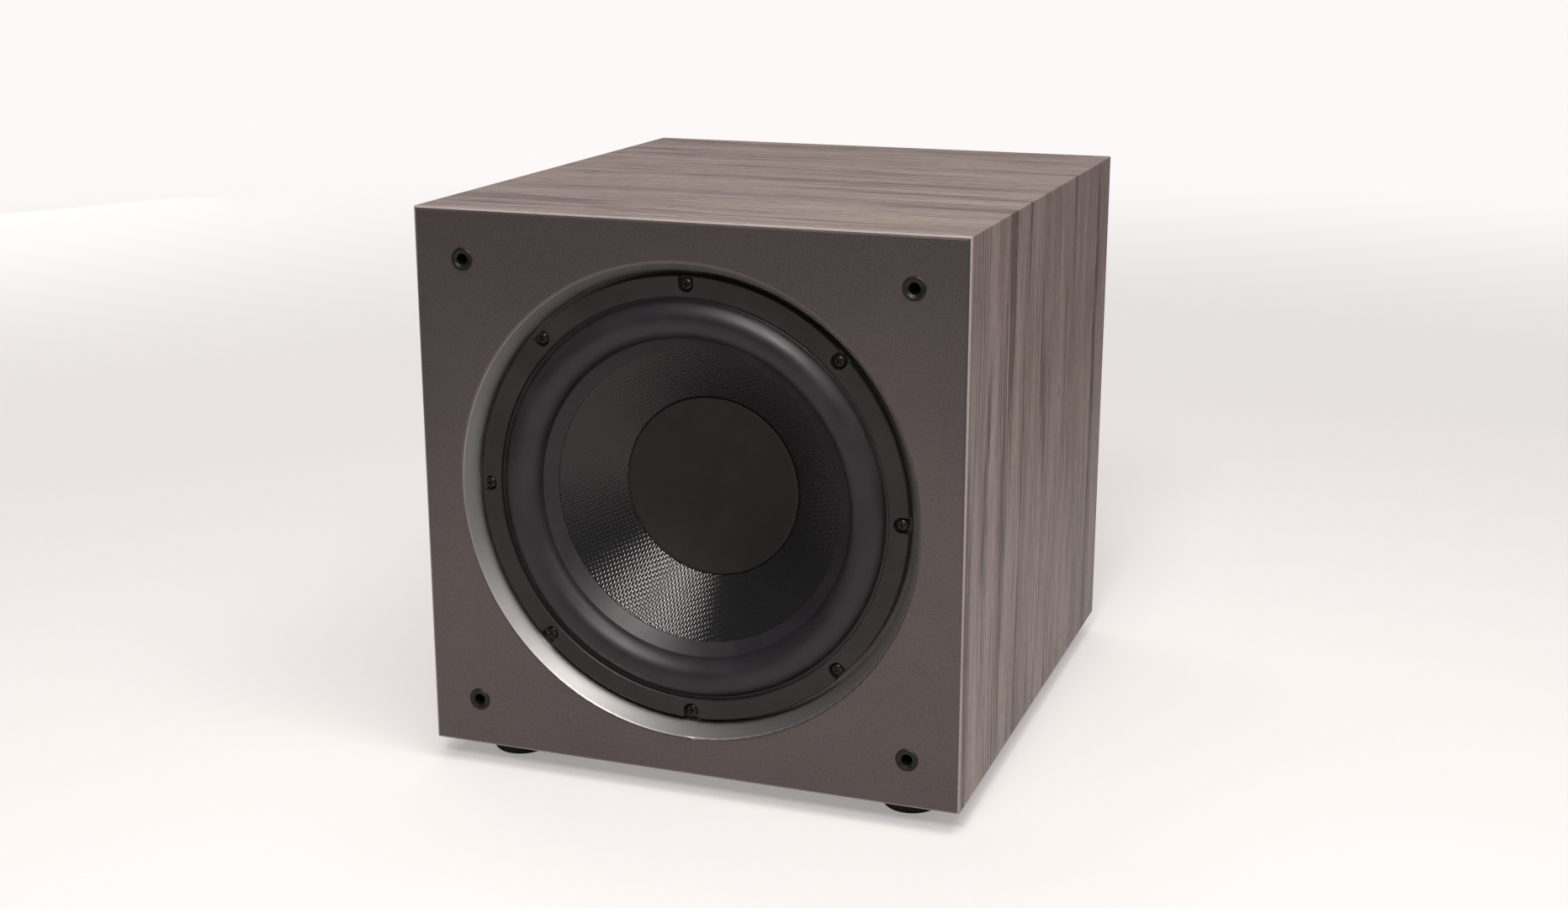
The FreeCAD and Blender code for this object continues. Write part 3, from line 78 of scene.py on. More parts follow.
def place_camera():
    """Camera at the viewing place, set by the directions to its right and ahead of it."""
    camera = bpy.data.cameras.new("camera")
    camera.lens = camera_lens
    camera.sensor_width = 36.0
    right, ahead = Vector(camera_right).normalized(), Vector(camera_ahead).normalized()
    seat = Matrix((right, right.cross(ahead), -ahead)).transposed().to_4x4()
    seat.translation = camera_place
    holder = bpy.data.objects.new("camera", camera)
    holder.matrix_world = seat
    bpy.context.scene.collection.objects.link(holder)
    bpy.context.scene.camera = holder


def hang_lamp(name, towards, distance, size, watts, tint):
    """Soft box at a distance from the cabinet's middle in a direction, turned to face it."""
    lamp = bpy.data.lights.new(name, "AREA")
    lamp.shape = "RECTANGLE"
    lamp.size, lamp.size_y = size
    lamp.energy = watts
    lamp.color = tint
    holder = bpy.data.objects.new(name, lamp)
    way = Vector(towards).normalized()
    holder.location = Vector(lamp_target) + way * distance
    holder.rotation_euler = (-way).to_track_quat("-Z", "Y").to_euler()
    bpy.context.scene.collection.objects.link(holder)


# ---- materials as expressions
class Signal:
    """A socket in a material, so that maths on it reads as an expression."""

    def __init__(self, finish, socket):
        self.finish = finish
        self.socket = socket

    def math(self, operation, *values):
        return self.finish.node("ShaderNodeMath", {"operation": operation}, *values)

    def __add__(self, other):
        return self.math("ADD", self, other)

    def __sub__(self, other):
        return self.math("SUBTRACT", self, other)

    def __rsub__(self, other):
        return self.math("SUBTRACT", other, self)

    def __mul__(self, other):
        return self.math("MULTIPLY", self, other)

    def __truediv__(self, other):
        return self.math("DIVIDE", self, other)

    def __gt__(self, other):
        return self.math("GREATER_THAN", self, other)

    def __lt__(self, other):
        return self.math("LESS_THAN", self, other)

    def __mod__(self, other):
        return self.math("FLOORED_MODULO", self, other)

    def __abs__(self):
        return self.math("ABSOLUTE", self)

    __radd__ = __add__
    __rmul__ = __mul__

    def sine(self):
        return self.math("SINE", self)

    def floor(self):
        return self.math("FLOOR", self)

    def most(self, other):
        return self.math("MAXIMUM", self, other)

    def least(self, other):
        return self.math("MINIMUM", self, other)

    def rise(self, low, high):
        """0 below low, 1 above high and a smooth step between."""
        return self.finish.node("ShaderNodeMapRange", {"interpolation_type": "SMOOTHSTEP"}, self, low, high)

    def power(self, exponent):
        return self.math("POWER", self, exponent)

    def angle(self, across):
        """Angle whose tangent is this over across."""
        return self.math("ARCTAN2", self, across)


class Finish:
    """A material, or the room's light, under construction; patterns read the object's own coordinates in metres."""

    def __init__(self, name, kept_in=None):
        self.material = (bpy.data.materials if kept_in is None else kept_in).new(name)
        self.material.use_nodes = True
        self.tree = self.material.node_tree
        self.tree.nodes.clear()
        self.at = self.node("ShaderNodeTexCoord", out="Object")
        self.x, self.y, self.z = self.parts(self.at)

    def node(self, kind, settings=None, *values, out=0, **named):
        """Adds a node: its type, its settings, then the values or links of its sockets."""
        made = self.tree.nodes.new(kind)
        for key, value in (settings or {}).items():
            if key == "stops":
                ramp = made.color_ramp.elements
                while len(ramp) < len(value):
                    ramp.new(0.5)
                for element, (place, colour) in zip(ramp, value):
                    element.position = place
                    element.color = (*colour, 1.0)
            else:
                setattr(made, key, value)
        for place, value in [*enumerate(values), *named.items()]:
            socket = made.inputs[place.replace("_", " ") if isinstance(place, str) else place]
            if isinstance(value, Signal):
                self.tree.links.new(value.socket, socket)
            elif value is not None:
                socket.default_value = (*value, 1.0) if socket.type == "RGBA" and len(value) == 3 else value
        return None if out is None else Signal(self, made.outputs[out])

    def parts(self, vector):
        """The vector's x, y and z."""
        first = self.node("ShaderNodeSeparateXYZ", None, vector)
        return [Signal(self, socket) for socket in first.socket.node.outputs]

    def facing(self):
        """The surface's own direction as x, y and z."""
        return self.parts(self.node("ShaderNodeNewGeometry", out="Normal"))

    def off_axis(self):
        """Distance from the driver's axis."""
        height = self.z - axis_height
        return (self.x * self.x + height * height).power(0.5)

    def vector(self, operation, a, b):
        return self.node("ShaderNodeVectorMath", {"operation": operation}, a, b)

    def joined(self, x, y, z):
        return self.node("ShaderNodeCombineXYZ", None, x, y, z)

    def noise(self, size, detail=2.0, stretch=(1, 1, 1), rough=0.5, warp=0.0, at=None):
        """Soft blots about size metres across, drawn out along each axis by stretch."""
        where = self.vector("MULTIPLY", at or self.at, tuple(1.0 / (size * s) for s in stretch))
        return self.node("ShaderNodeTexNoise", None, Vector=where, Scale=1.0, Detail=detail, Roughness=rough,
                         Distortion=warp)

    def cells(self, size):
        """Distance to the middle of cells about size metres across."""
        where = self.vector("MULTIPLY", self.at, (1.0 / size,) * 3)
        return self.node("ShaderNodeTexVoronoi", {"feature": "F1"}, Vector=where, Scale=1.0)

    def rays(self):
        """One where the surface is seen by the camera, in gloss, and through glass."""
        path = self.node("ShaderNodeLightPath").socket.node.outputs
        return [Signal(self, path[n]) for n in ("Is Camera Ray", "Is Glossy Ray", "Is Transmission Ray")]

    def mix(self, factor, a, b):
        """Colour a where the factor is 0 and b where it is 1."""
        return self.node("ShaderNodeMix", {"data_type": "RGBA"}, factor, *(None,) * 5, a, b, out=2)

    def shades(self, value, *stops):
        return self.node("ShaderNodeValToRGB", {"stops": stops}, value)

    def bump(self, height, depth):
        """Relief: height from 0 to 1 stands for depth in metres."""
        return self.node("ShaderNodeBump", None, Strength=1.0, Distance=depth, Height=height)

    def surface(self, **named):
        """Ends the material in one plastic, paint or metal shader and returns it."""
        shader = self.node("ShaderNodeBsdfPrincipled", None, **named)
        self.node("ShaderNodeOutputMaterial", None, shader, out=None)
        return self.material


# ---- finishes
print_ink = (0.62, 0.62, 0.60)


def shade(colour, share):
    """The colour made darker or paler by a share of itself, up to white."""
    return tuple(min(1.0, c * share) for c in colour)


def paint(name, colour, roughness, metallic, grain=0.00045, depth=0.00002, bright=None):
    """Sprayed paint: fine orange peel, a scatter of flakes and slow changes of tone.

    Where bright is given, the turned flare of the recess has that paler colour, a painted highlight standing in for
    the light the flare catches, and a more metallic coat."""
    f = Finish(name)
    tone = f.noise(0.09, 3.0)
    fleck = f.noise(grain, 2.0, rough=0.7)
    base = f.mix(fleck.rise(0.34, 0.68) * 0.8 + tone.rise(0.3, 0.7) * 0.2, shade(colour, 0.8), shade(colour, 1.28))
    rub = f.noise(0.03, 4.0, rough=0.65)
    rough = f.noise(grain * 3, 1.0) * 0.08 + rub.rise(0.55, 0.8) * 0.05 + (roughness - 0.05)
    # Painted highlight: the flare is made paler and more metallic than the rest of the paint, for the light it
    # catches.
    if bright:
        mouth = 0.1392
        within = 1 - f.off_axis().rise(mouth - 0.0018, mouth)
        flare = within * f.facing()[1].rise(-0.85, -0.60)
        base = f.mix(flare, base, bright)
        metallic = flare * (0.95 - metallic) + metallic
        rough = rough + flare * 0.12
    relief = f.noise(grain * 1.6, 2.0)
    return f.surface(Base_Color=base, Roughness=rough, Metallic=metallic, Normal=f.bump(relief, depth))


def printed_plate(name, colour):
    """Textured black plate with a printed scale of eleven pale ticks round each knob, 30 degrees apart."""
    f = Finish(name)
    tick_gap, tick_length, step = 0.0016, 0.0024, 30.0
    turned_either_way = 5.5 * step
    half_width = 0.0175            # of a tick, as metres from the middle times degrees
    grit = f.noise(0.0006, 3.0, rough=0.6)
    base = f.mix(grit.rise(0.35, 0.7), shade(colour, 0.8), shade(colour, 1.3))
    scale = 0.0
    for knob in ("volume_knob", "crossover_knob"):
        low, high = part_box(knob)
        x, z = f.x - (low.x + high.x) / 2, f.z - (low.z + high.z) / 2
        radius = (x * x + z * z).power(0.5)
        turn = x.angle(z) * math.degrees(1) + turned_either_way
        tick = abs(turn % step - step / 2) * radius < half_width
        tick = tick * (turn > 0.0) * (turn < 2 * turned_either_way)
        inner = (high.x - low.x) / 2 + tick_gap
        scale = tick * (radius > inner) * (radius < inner + tick_length) + scale
    base = f.mix(scale, base, print_ink)
    return f.surface(Base_Color=base, Roughness=0.56 - grit * 0.16, Normal=f.bump(grit, 0.00006))


def wood_foil(name, unfold):
    """Wood-grain foil; the sheet runs across the top and down each side as one, unfolded about the top edge.

    It turns over the rear edge of each panel, so what lies inside the outer face is counted on across it."""
    f = Finish(name)
    top, side = cad_box[1][2], cad_box[1][0]
    pitch = 0.0052                 # of the dark grain lines
    line_ink, streak_ink, hair_ink, pore_ink = ((0.085, 0.068, 0.064), (0.078, 0.062, 0.058),
                                                (0.095, 0.076, 0.072), (0.060, 0.048, 0.046))
    along = f.x + (top - f.z) * unfold
    across = f.y + (side - f.x * unfold if unfold else top - f.z)
    sheet = f.joined(along, across, 0.37)
    sway = (f.noise(0.16, 2.0, stretch=(1.6, 0.55, 1), at=sheet) - 0.5) * 0.016
    drift = (f.noise(0.030, 3.0, stretch=(3.0, 0.5, 1), at=sheet) - 0.5) * 0.006
    bent = f.joined(along, across + sway + drift, 0.0)

    def figure(size, length, width=1.0, detail=2.0, rough=0.5):
        return f.noise(size, detail, stretch=(length, width, 1), at=bent, rough=rough)

    broad = figure(0.035, 16, detail=3.0, rough=0.6)
    base = f.shades(broad, (0.32, (0.278, 0.218, 0.203)), (0.52, (0.318, 0.250, 0.233)), (0.70, (0.363, 0.287, 0.268)))
    base = f.mix(figure(0.045, 5, 0.8).rise(0.45, 0.75) * 0.5, base, (0.320, 0.278, 0.220))
    dashes = figure(0.0030, 16, detail=3.0, rough=0.6).rise(0.40, 0.56)
    # The streaks are painted fainter on the top than on the sides: a painted sheen, for the light the top reflects.
    painted_sheen_streak_share = 1.0 if unfold else 0.62
    streak = figure(0.024, 18, detail=4.0, rough=0.58).rise(0.54, 0.60)
    base = f.mix(streak * (dashes * (0.62 * painted_sheen_streak_share) + 0.30 * painted_sheen_streak_share), base, streak_ink)
    jitter = (figure(0.0045, 14) - 0.5) * 0.0042
    comb = abs(((across + sway + drift + jitter) * (math.pi / pitch)).sine())
    line = comb.rise(0.50, 0.92) * (figure(0.030, 7, 0.7).rise(0.38, 0.6) * 0.8 + 0.2)
    base = f.mix(line * 0.66, base, line_ink)
    base = f.mix(figure(0.0019, 40).rise(0.50, 0.62) * 0.42, base, hair_ink)
    pore = figure(0.0008, 12, 0.9)
    base = f.mix(pore.rise(0.56, 0.66) * 0.6, base, pore_ink)
    bevel = abs(f.facing()[1] + math.sqrt(0.5)) < 0.05
    base = f.mix(bevel * 0.85, base, (0.30, 0.262, 0.254))
    relief = line * 0.6 + pore.rise(0.55, 0.72) * 0.6
    rough = line * 0.14 + f.noise(0.0012, 3.0) * 0.06 + 0.42
    return f.surface(Base_Color=base, Roughness=rough, Normal=f.bump(1 - relief, 0.00006))


def moulded(name, colour, roughness, spark=0.0004, depth=0.00003, shine=0.5, knob=None):
    """Moulded plastic: fine spark texture with faint flow marks, and a pale line in the groove of a knob's face."""
    f = Finish(name)
    flow = f.noise(0.018, 3.0, stretch=(1, 2.2, 1), warp=0.6)
    base = f.mix(flow.rise(0.3, 0.7), shade(colour, 0.88), shade(colour, 1.12))
    if knob:
        half_groove, groove_start, groove_depth = 0.00056, 0.0012, 0.0006
        low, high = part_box(knob)
        across, up = abs(f.x - (low.x + high.x) / 2), f.z - (low.z + high.z) / 2
        pointer = (across < half_groove) * (up > groove_start) * (f.y > high.y - groove_depth)
        base = f.mix(pointer, base, print_ink)
    pit = f.noise(spark, 2.0, rough=0.6)
    rough = pit * 0.12 + flow * 0.06 + (roughness - 0.09)
    return f.surface(Base_Color=base, Roughness=rough, Specular_IOR_Level=shine, Normal=f.bump(pit, depth))


def rubber(name, colour, roughness, bloom=0.35, shine=0.5):
    """Rubber with a faint grey bloom in patches and a fine moulded skin."""
    f = Finish(name)
    patch = f.noise(0.028, 4.0, rough=0.6)
    skin = f.noise(0.0006, 3.0)
    base = f.mix(patch.rise(0.35, 0.75), colour, tuple(c * (1 + bloom) + 0.002 for c in colour))
    rough = patch.rise(0.3, 0.7) * 0.08 + skin * 0.05 + (roughness - 0.06)
    return f.surface(Base_Color=base, Roughness=rough, Specular_IOR_Level=shine, Normal=f.bump(skin, 0.00002))


def foam(name, colour):
    """Closed-cell foam: small round cells, paler towards their raised rims."""
    f = Finish(name)
    cell = f.cells(0.0007)
    base = f.mix(cell.rise(0.2, 0.6), colour, shade(colour, 1.9))
    return f.surface(Base_Color=base, Roughness=0.9, Normal=f.bump(cell, 0.0001))


def plated(name, colour, roughness, cloudy=0.82):
    """Plated or drawn metal: cloudy plating and fine drawn lines."""
    f = Finish(name)
    cloud = f.noise(0.006, 4.0, rough=0.65)
    drawn = f.noise(0.0003, 2.0, stretch=(1, 1, 18))
    base = f.mix(cloud.rise(0.3, 0.7), shade(colour, cloudy), colour)
    rough = cloud * 0.14 + drawn * 0.1 + (roughness - 0.1)
    return f.surface(Base_Color=base, Metallic=1.0, Roughness=rough, Normal=f.bump(drawn, 0.000006))


def rough_steel(name, colour):
    """Turned and plated low-carbon steel, with rings left by the tool round the driver's axis."""
    f = Finish(name)
    ring = (f.off_axis() * 6200.0).sine() * 0.5 + 0.5
    rust = f.noise(0.011, 5.0, rough=0.7)
    base = f.mix(rust.rise(0.56, 0.78), colour, (0.28, 0.25, 0.20))
    return f.surface(Base_Color=base, Metallic=0.9, Roughness=rust * 0.22 + 0.28, Normal=f.bump(ring, 0.000008))


def stone_like(name, colour):
    """Sintered ferrite: near black, with pale specks and shallow chips."""
    f = Finish(name)
    speck = f.noise(0.0009, 3.0, rough=0.7)
    chip = f.cells(0.004)
    base = f.mix(speck.rise(0.58, 0.75), colour, shade(colour, 2.4))
    return f.surface(Base_Color=base, Roughness=0.55 - speck * 0.15, Normal=f.bump(chip.least(speck), 0.00008))


def fibreboard(name, colour, dark=0.55):
    """Pressed fibres with pale and dark flecks."""
    f = Finish(name)
    fibre = f.noise(0.0016, 4.0, stretch=(2.4, 1, 1), rough=0.7, warp=1.2)
    fluff = f.noise(0.0005, 2.0)
    base = f.mix(fibre.rise(0.35, 0.65), shade(colour, dark), colour)
    base = f.mix(fluff.rise(0.6, 0.8) * 0.5, base, shade(colour, 1.5))
    return f.surface(Base_Color=base, Roughness=0.82 - fluff * 0.1, Normal=f.bump(fibre + fluff * 0.4, 0.00009))


def wadding(name, colour):
    """Loose white fibres in soft tufts."""
    f = Finish(name)
    tuft = f.noise(0.014, 4.0, rough=0.6, warp=1.5)
    hair = f.noise(0.0011, 3.0, stretch=(5, 1, 1), warp=3.0)
    base = f.mix(tuft.rise(0.3, 0.7), shade(colour, 0.72), colour)
    base = f.mix(hair.rise(0.5, 0.75) * 0.3, base, (0.95, 0.95, 0.93))
    return f.surface(Base_Color=base, Roughness=1.0, Normal=f.bump(tuft + hair * 0.25, 0.0012))


def threads(u, v):
    """Plain weave: two sets of round threads that pass over and under each other in turn.

    Each set is |sin| across its threads, raised and lowered by a sine along them whose sign changes from
    one thread to the next and between the sets; the weave is the higher of the two."""

    def one(across, along, sign):
        lift = ((along + across.floor()) * math.pi).sine() * (0.32 * sign) + 0.68
        return abs((across * math.pi).sine()) * lift

    return one(u, v, 1).most(one(v, u, -1))


def woven_cone(name, colour):
    """Woven cone under a gloss coat; the cloth's two thread sets cross at an angle in the plane of the frame."""
    f = Finish(name)
    pitch = 0.0015
    height = f.z - axis_height

    def across(degrees):
        turn = math.radians(degrees)
        return (f.x * math.sin(turn) - height * math.cos(turn)) / pitch

    weave = threads(across(-32.0), across(72.0))
    base = f.mix(weave.rise(0.25, 0.9), shade(colour, 0.45), shade(colour, 1.5))
    rough = 0.175 - weave * 0.05 + f.noise(0.02, 3.0) * 0.04
    return f.surface(Base_Color=base, Roughness=rough, Normal=f.bump(weave, 0.00014))


def spider_cloth(name, colour):
    """Open cotton weave stiffened with resin."""
    f = Finish(name)
    pitch = 0.0007
    weave = threads(f.x / pitch, f.z / pitch)
    resin = f.noise(0.008, 3.0)
    base = f.mix(weave.rise(0.3, 0.9), shade(colour, 0.5), colour)
    return f.surface(Base_Color=base, Roughness=0.62 - resin * 0.2, Normal=f.bump(weave, 0.00012))


def wound(name, colour, pitch):
    """Turns laid side by side along the driver's axis."""
    f = Finish(name)
    turn = abs((f.y * (math.pi / pitch)).sine())
    base = f.mix(turn.rise(0.1, 0.8), shade(colour, 0.35), colour)
    return f.surface(Base_Color=base, Metallic=0.8, Roughness=f.noise(0.004, 3.0) * 0.2 + 0.22,
                     Normal=f.bump(turn, pitch * 0.3))


def taped_coil(name, colour):
    """Toroid wrapped in clear yellow tape over copper, in overlapping slanted bands."""
    f = Finish(name)
    low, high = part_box("power_transformer")
    z = f.z - (low.z + high.z) / 2
    angle = z.angle(f.x)
    radius = (f.x * f.x + z * z).power(0.5)
    laps, wires = 36, 260.0
    lap = (angle * (laps / (2 * math.pi)) + (f.y + radius * 0.4) * 45.0) % 1.0
    wire = abs((angle * wires).sine())
    base = f.mix(wire.rise(0.2, 0.8) * 0.45, colour, (0.32, 0.13, 0.04))
    base = f.mix(lap.rise(0.86, 0.98), base, (0.85, 0.66, 0.22))
    return f.surface(Base_Color=base, Roughness=0.26 + lap * 0.12, Coat_Weight=0.4, Coat_Roughness=0.12,
                     Normal=f.bump(lap, 0.00025))


def circuit_board(name, colour):
    """Green solder mask over copper tracks, with a grid of tinned pads."""
    f = Finish(name)
    pitch = 0.00254
    where = f.vector("MULTIPLY", f.at, (140, 0, 140))
    blocks = f.node("ShaderNodeTexVoronoi", {"distance": "MANHATTAN"}, Vector=where, Scale=1.0)
    track = (blocks % 0.16) < 0.07
    px, pz = f.x / pitch % 1.0 - 0.5, f.z / pitch % 1.0 - 0.5
    pad = (px * px + pz * pz < 0.055) * (f.noise(0.006, 1.0) > 0.56)
    base = f.mix(track, colour, shade(colour, 1.7))
    base = f.mix(pad, base, (0.62, 0.62, 0.58))
    return f.surface(Base_Color=base, Roughness=0.34 - pad * 0.08, Metallic=pad * 0.9,
                     Normal=f.bump(track * 0.5 + pad, 0.00004))


def layered(name, colour):
    """Pressed paper board in thin layers with a mottled face."""
    f = Finish(name)
    layer = abs((f.y * 9000.0).sine())
    mottle = f.noise(0.003, 4.0, rough=0.7)
    base = f.mix(mottle.rise(0.3, 0.7), shade(colour, 0.6), shade(colour, 1.2))
    return f.surface(Base_Color=base, Roughness=0.4 + mottle * 0.15, Normal=f.bump(layer, 0.00002))


def braided(name, colour):
    """Flat copper braid: two sets of strands wound in opposite directions."""
    f = Finish(name)
    slope = f.x + f.z
    strand = abs(((f.y + slope) * 3600.0).sine()).most(abs(((f.y - slope) * 3600.0).sine()))
    base = f.mix(strand.rise(0.6, 1.0), shade(colour, 0.4), colour)
    return f.surface(Base_Color=base, Metallic=0.9, Roughness=0.5 - strand * 0.12, Normal=f.bump(strand, 0.0001))


def sleeved_can(name, colour):
    """Shrunk sleeve with a pale stripe down one side and a bare pressed top."""
    f = Finish(name)
    low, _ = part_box("filter_capacitors")
    bare = f.y < low.y + 0.0009
    stripe = abs(f.z - low.z - 0.015) < 0.003
    sleeve = f.mix(stripe, colour, (0.50, 0.52, 0.55))
    fold = f.noise(0.004, 3.0, stretch=(1, 5, 1))
    base = f.mix(bare, sleeve, (0.7, 0.7, 0.7))
    return f.surface(Base_Color=base, Metallic=bare * 0.9, Roughness=0.22 + fold * 0.12, Normal=f.bump(fold, 0.00012))


def clear_glass(name, colour):
    """Thin glass tube with tinned end caps and a fine wire down its middle."""
    f = Finish(name)
    low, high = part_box("fuse")
    middle = (low + high) / 2
    cap_length, half_wire = 0.0058, 0.00025
    cap = abs(f.x - middle.x) > (high.x - low.x) / 2 - cap_length
    wire = (abs(f.z - middle.z) < half_wire) * (1 - cap)
    haze = f.noise(0.002, 3.0)
    base = f.mix(cap.most(wire), colour, (0.66, 0.64, 0.60))
    return f.surface(Base_Color=base, Metallic=cap * 0.95, Roughness=haze * 0.08 + 0.08, IOR=1.5,
                     Normal=f.bump(haze, 0.00001))


def lens(name, colour):
    """Clear coloured lens with a faceted look from the diffuser inside."""
    f = Finish(name)
    facet = f.cells(0.0006)
    base = f.mix(facet.rise(0.1, 0.7), shade(colour, 1.6), shade(colour, 0.5))
    return f.surface(Base_Color=base, Roughness=facet * 0.1 + 0.08, Coat_Weight=0.6,
                     Emission_Color=base, Emission_Strength=0.35, Normal=f.bump(facet, 0.00005))


# ---- shapes worked out on grids
def eased_corner(start, corner, end, radius):
    """Line from start to end by way of a corner, which is rounded by a circular arc tangent to both sides."""
    start, here, end = (np.array(place, float) for place in (start, corner, end))
    back, on = start - here, end - here
    back, on = back / np.linalg.norm(back), on / np.linalg.norm(on)
    half = math.acos(max(-1.0, min(1.0, float(back @ on)))) / 2
    if half > math.pi / 2 - 0.01:
        return np.stack([start, here, end])
    centre = here + (back + on) / np.linalg.norm(back + on) * radius / math.sin(half)
    enter = here + back * radius / math.tan(half) - centre
    leave = here + on * radius / math.tan(half) - centre
    count = max(3, int(math.degrees(math.pi - 2 * half) / 9) + 2)
    first, last = math.atan2(enter[1], enter[0]), math.atan2(leave[1], leave[0])
    sweep = (last - first + math.pi) % (2 * math.pi) - math.pi
    angles = first + sweep * np.linspace(0, 1, count)
    arc = centre + radius * np.stack([np.cos(angles), np.sin(angles)], 1)
    return np.concatenate([start[None], arc, end[None]])


def arc_between(start, through, end, count):
    """Points on the circle through three places, evenly spaced by angle, both ends included."""
    (ax, ay), (bx, by), (cx, cy) = start, through, end
    d = 2 * (ax * (by - cy) + bx * (cy - ay) + cx * (ay - by))
    ux = ((ax**2 + ay**2) * (by - cy) + (bx**2 + by**2) * (cy - ay) + (cx**2 + cy**2) * (ay - by)) / d
    uy = ((ax**2 + ay**2) * (cx - bx) + (bx**2 + by**2) * (ax - cx) + (cx**2 + cy**2) * (bx - ax)) / d
    angles = np.unwrap([math.atan2(y - uy, x - ux) for x, y in (start, through, end)])
    turn = np.linspace(angles[0], angles[2], count)
    radius = math.hypot(ax - ux, ay - uy)
    return np.stack([ux + radius * np.cos(turn), uy + radius * np.sin(turn)], 1)


def grid_piece(name, grid, node, body=None, closed_rows=True):
    """Skin over a grid of places that stands for a CAD node and has its finish.

    It is closed along its second way and, if closed_rows, along its first. Rows that shrink to one place are
    drawn together into a pole, and the skin is turned to face outwards, so that its signed volume is above zero."""
    rows, columns = grid.shape[:2]
    i = np.arange(rows if closed_rows else rows - 1)[:, None]
    j = np.arange(columns)[None]
    after, beside = (i + 1) % rows, (j + 1) % columns
    faces = np.stack(np.broadcast_arrays(i * columns + j, i * columns + beside, after * columns + beside,
                                         after * columns + j), -1).reshape(-1, 4)
    places = grid.reshape(-1, 3)
    a, b, c, d = (places[faces[:, k]] for k in range(4))
    bulk = (np.cross(a, b) * c).sum() + (np.cross(a, c) * d).sum()
    if bulk < 0:
        faces = faces[:, ::-1]
    mesh = bpy.data.meshes.new(name)
    mesh.from_pydata(places.tolist(), [], faces.tolist())
    shape = bmesh.new()
    shape.from_mesh(mesh)
    bmesh.ops.remove_doubles(shape, verts=shape.verts, dist=1e-7)
    shape.to_mesh(mesh)
    shape.free()
    mesh.polygons.foreach_set("use_smooth", np.ones(len(mesh.polygons), bool))
    mesh.set_sharp_from_angle(angle=math.radians(40.0))
    mesh.materials.append(finishes[slot_of[node]])
    piece = bpy.data.objects.new(name, mesh)
    bpy.context.scene.collection.objects.link(piece)
    if body:
        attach(piece, body)
    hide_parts(node)
    return piece


def turned(profile, steps=256):
    """Profile of (radius, y) points swept round the driver's axis: r cos a, y, axis + r sin a."""
    angles = np.linspace(0, 2 * math.pi, steps, endpoint=False)
    radius, depth = profile[:, :1], profile[:, 1:]
    return np.stack(np.broadcast_arrays(radius * np.cos(angles), depth, axis_height + radius * np.sin(angles)), -1)


def reach(node):
    """Radius of a round node about the driver's axis, and its front and back along Y."""
    low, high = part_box(node)
    return (high.x - low.x) / 2, low.y, high.y


# ---- driver's soft and moving parts
roll_width = 0.0222            # of the surround, from the cone's rim to its edge on the frame
rubber_wall = 0.0014
lip_width = 0.0073             # surround glued on the cone
glue_line = 0.0003
cone_wall = 0.0015
cap_wall = 0.001
cap_rim_radius = 0.0005
spider_wall = 0.0008
spider_collar = 0.004
spider_swing = 0.0014          # of each wave, to either side
spider_waves = 4
spider_land = 0.010            # flat rim glued to its shelf
braid_radius = 0.0009
braid_reach = 0.013            # from the former to where the braid leaves the cone
spider_grip = 0.0013           # width beside the former that moves all the way with it
braid_grip = 0.015             # the same, of the braid
braid_end = 0.004              # length of the braid that stays still at its terminal


def surround_grid():
    """Half roll of rubber between a flat edge on the frame and a lip on the cone, with eased feet.

    Its outline is an arc through the two feet and the crest, offset inwards by the rubber's thickness."""
    land, crest, _ = reach("surround")
    cone_edge, cone_rim, cone_back = reach("cone")
    neck = reach("voice_coil_former")[0]
    gasket_back = reach("gasket_ring")[2]
    outer = cone_edge + roll_width
    slope = (cone_back - cone_wall - cone_rim) / (cone_edge - neck)
    lip = cone_edge - lip_width

    def roll(inset):
        feet = gasket_back - rubber_wall + inset, cone_rim - glue_line - rubber_wall + inset
        return arc_between((outer, feet[0]), ((outer + cone_edge) / 2, crest + inset), (cone_edge, feet[1]), 40)

    face, back = roll(0.0), roll(rubber_wall)
    lip_back = cone_rim + (cone_edge - lip) * slope - glue_line
    edge = eased_corner((land, face[0, 1]), face[0], face[3], 0.0009)[:-1]
    toe = eased_corner(face[-4], face[-1], (lip, lip_back - rubber_wall * 0.6), 0.0013)[1:]
    bead = eased_corner(toe[-1], (lip - 0.0001, lip_back - 0.0003), (lip, lip_back), 0.0003)
    profile = np.concatenate([edge, face[3:-3], toe[:-1], bead, back[::-1], [(land, back[0, 1])]])
    return turned(profile, 288)


def cone_grid():
    """Straight-sided cone: a line from the rim to the neck, and the same line set back by the wall."""
    edge, rim, back = reach("cone")
    neck = reach("voice_coil_former")[0]
    ways = np.linspace(0, 1, 24)[:, None]
    front = (1 - ways) * (edge, rim) + ways * (neck, back - cone_wall)
    return turned(np.concatenate([front, front[::-1] + (0, cone_wall)]))


def cap_grid():
    """Dished cap: a rounded upright rim, then a circular arc that falls to its deepest point on the axis."""
    radius, front, back = reach("dust_cap")
    depth = back - cap_wall - front
    inner = radius - 0.0011
    ball = (inner**2 + depth**2) / (2 * depth)
    ways = np.linspace(inner, 0, 40)
    dish = front + depth - ball + np.sqrt(ball**2 - ways**2)
    turns = np.linspace(0, math.pi / 2, 7)
    lip = cap_rim_radius * np.stack([np.cos(turns), -np.sin(turns)], 1)
    lip += (radius - cap_rim_radius, front + cap_rim_radius)
    face = np.stack([ways, dish], 1)
    under = np.stack([ways[::-1] * 0.985, dish[::-1] + cap_wall], 1)
    rim, shoulder = (radius - 0.0004, front + 0.0012), (radius - 0.0008, front + 0.00002)
    return turned(np.concatenate([under, [rim], lip, [shoulder], face]))


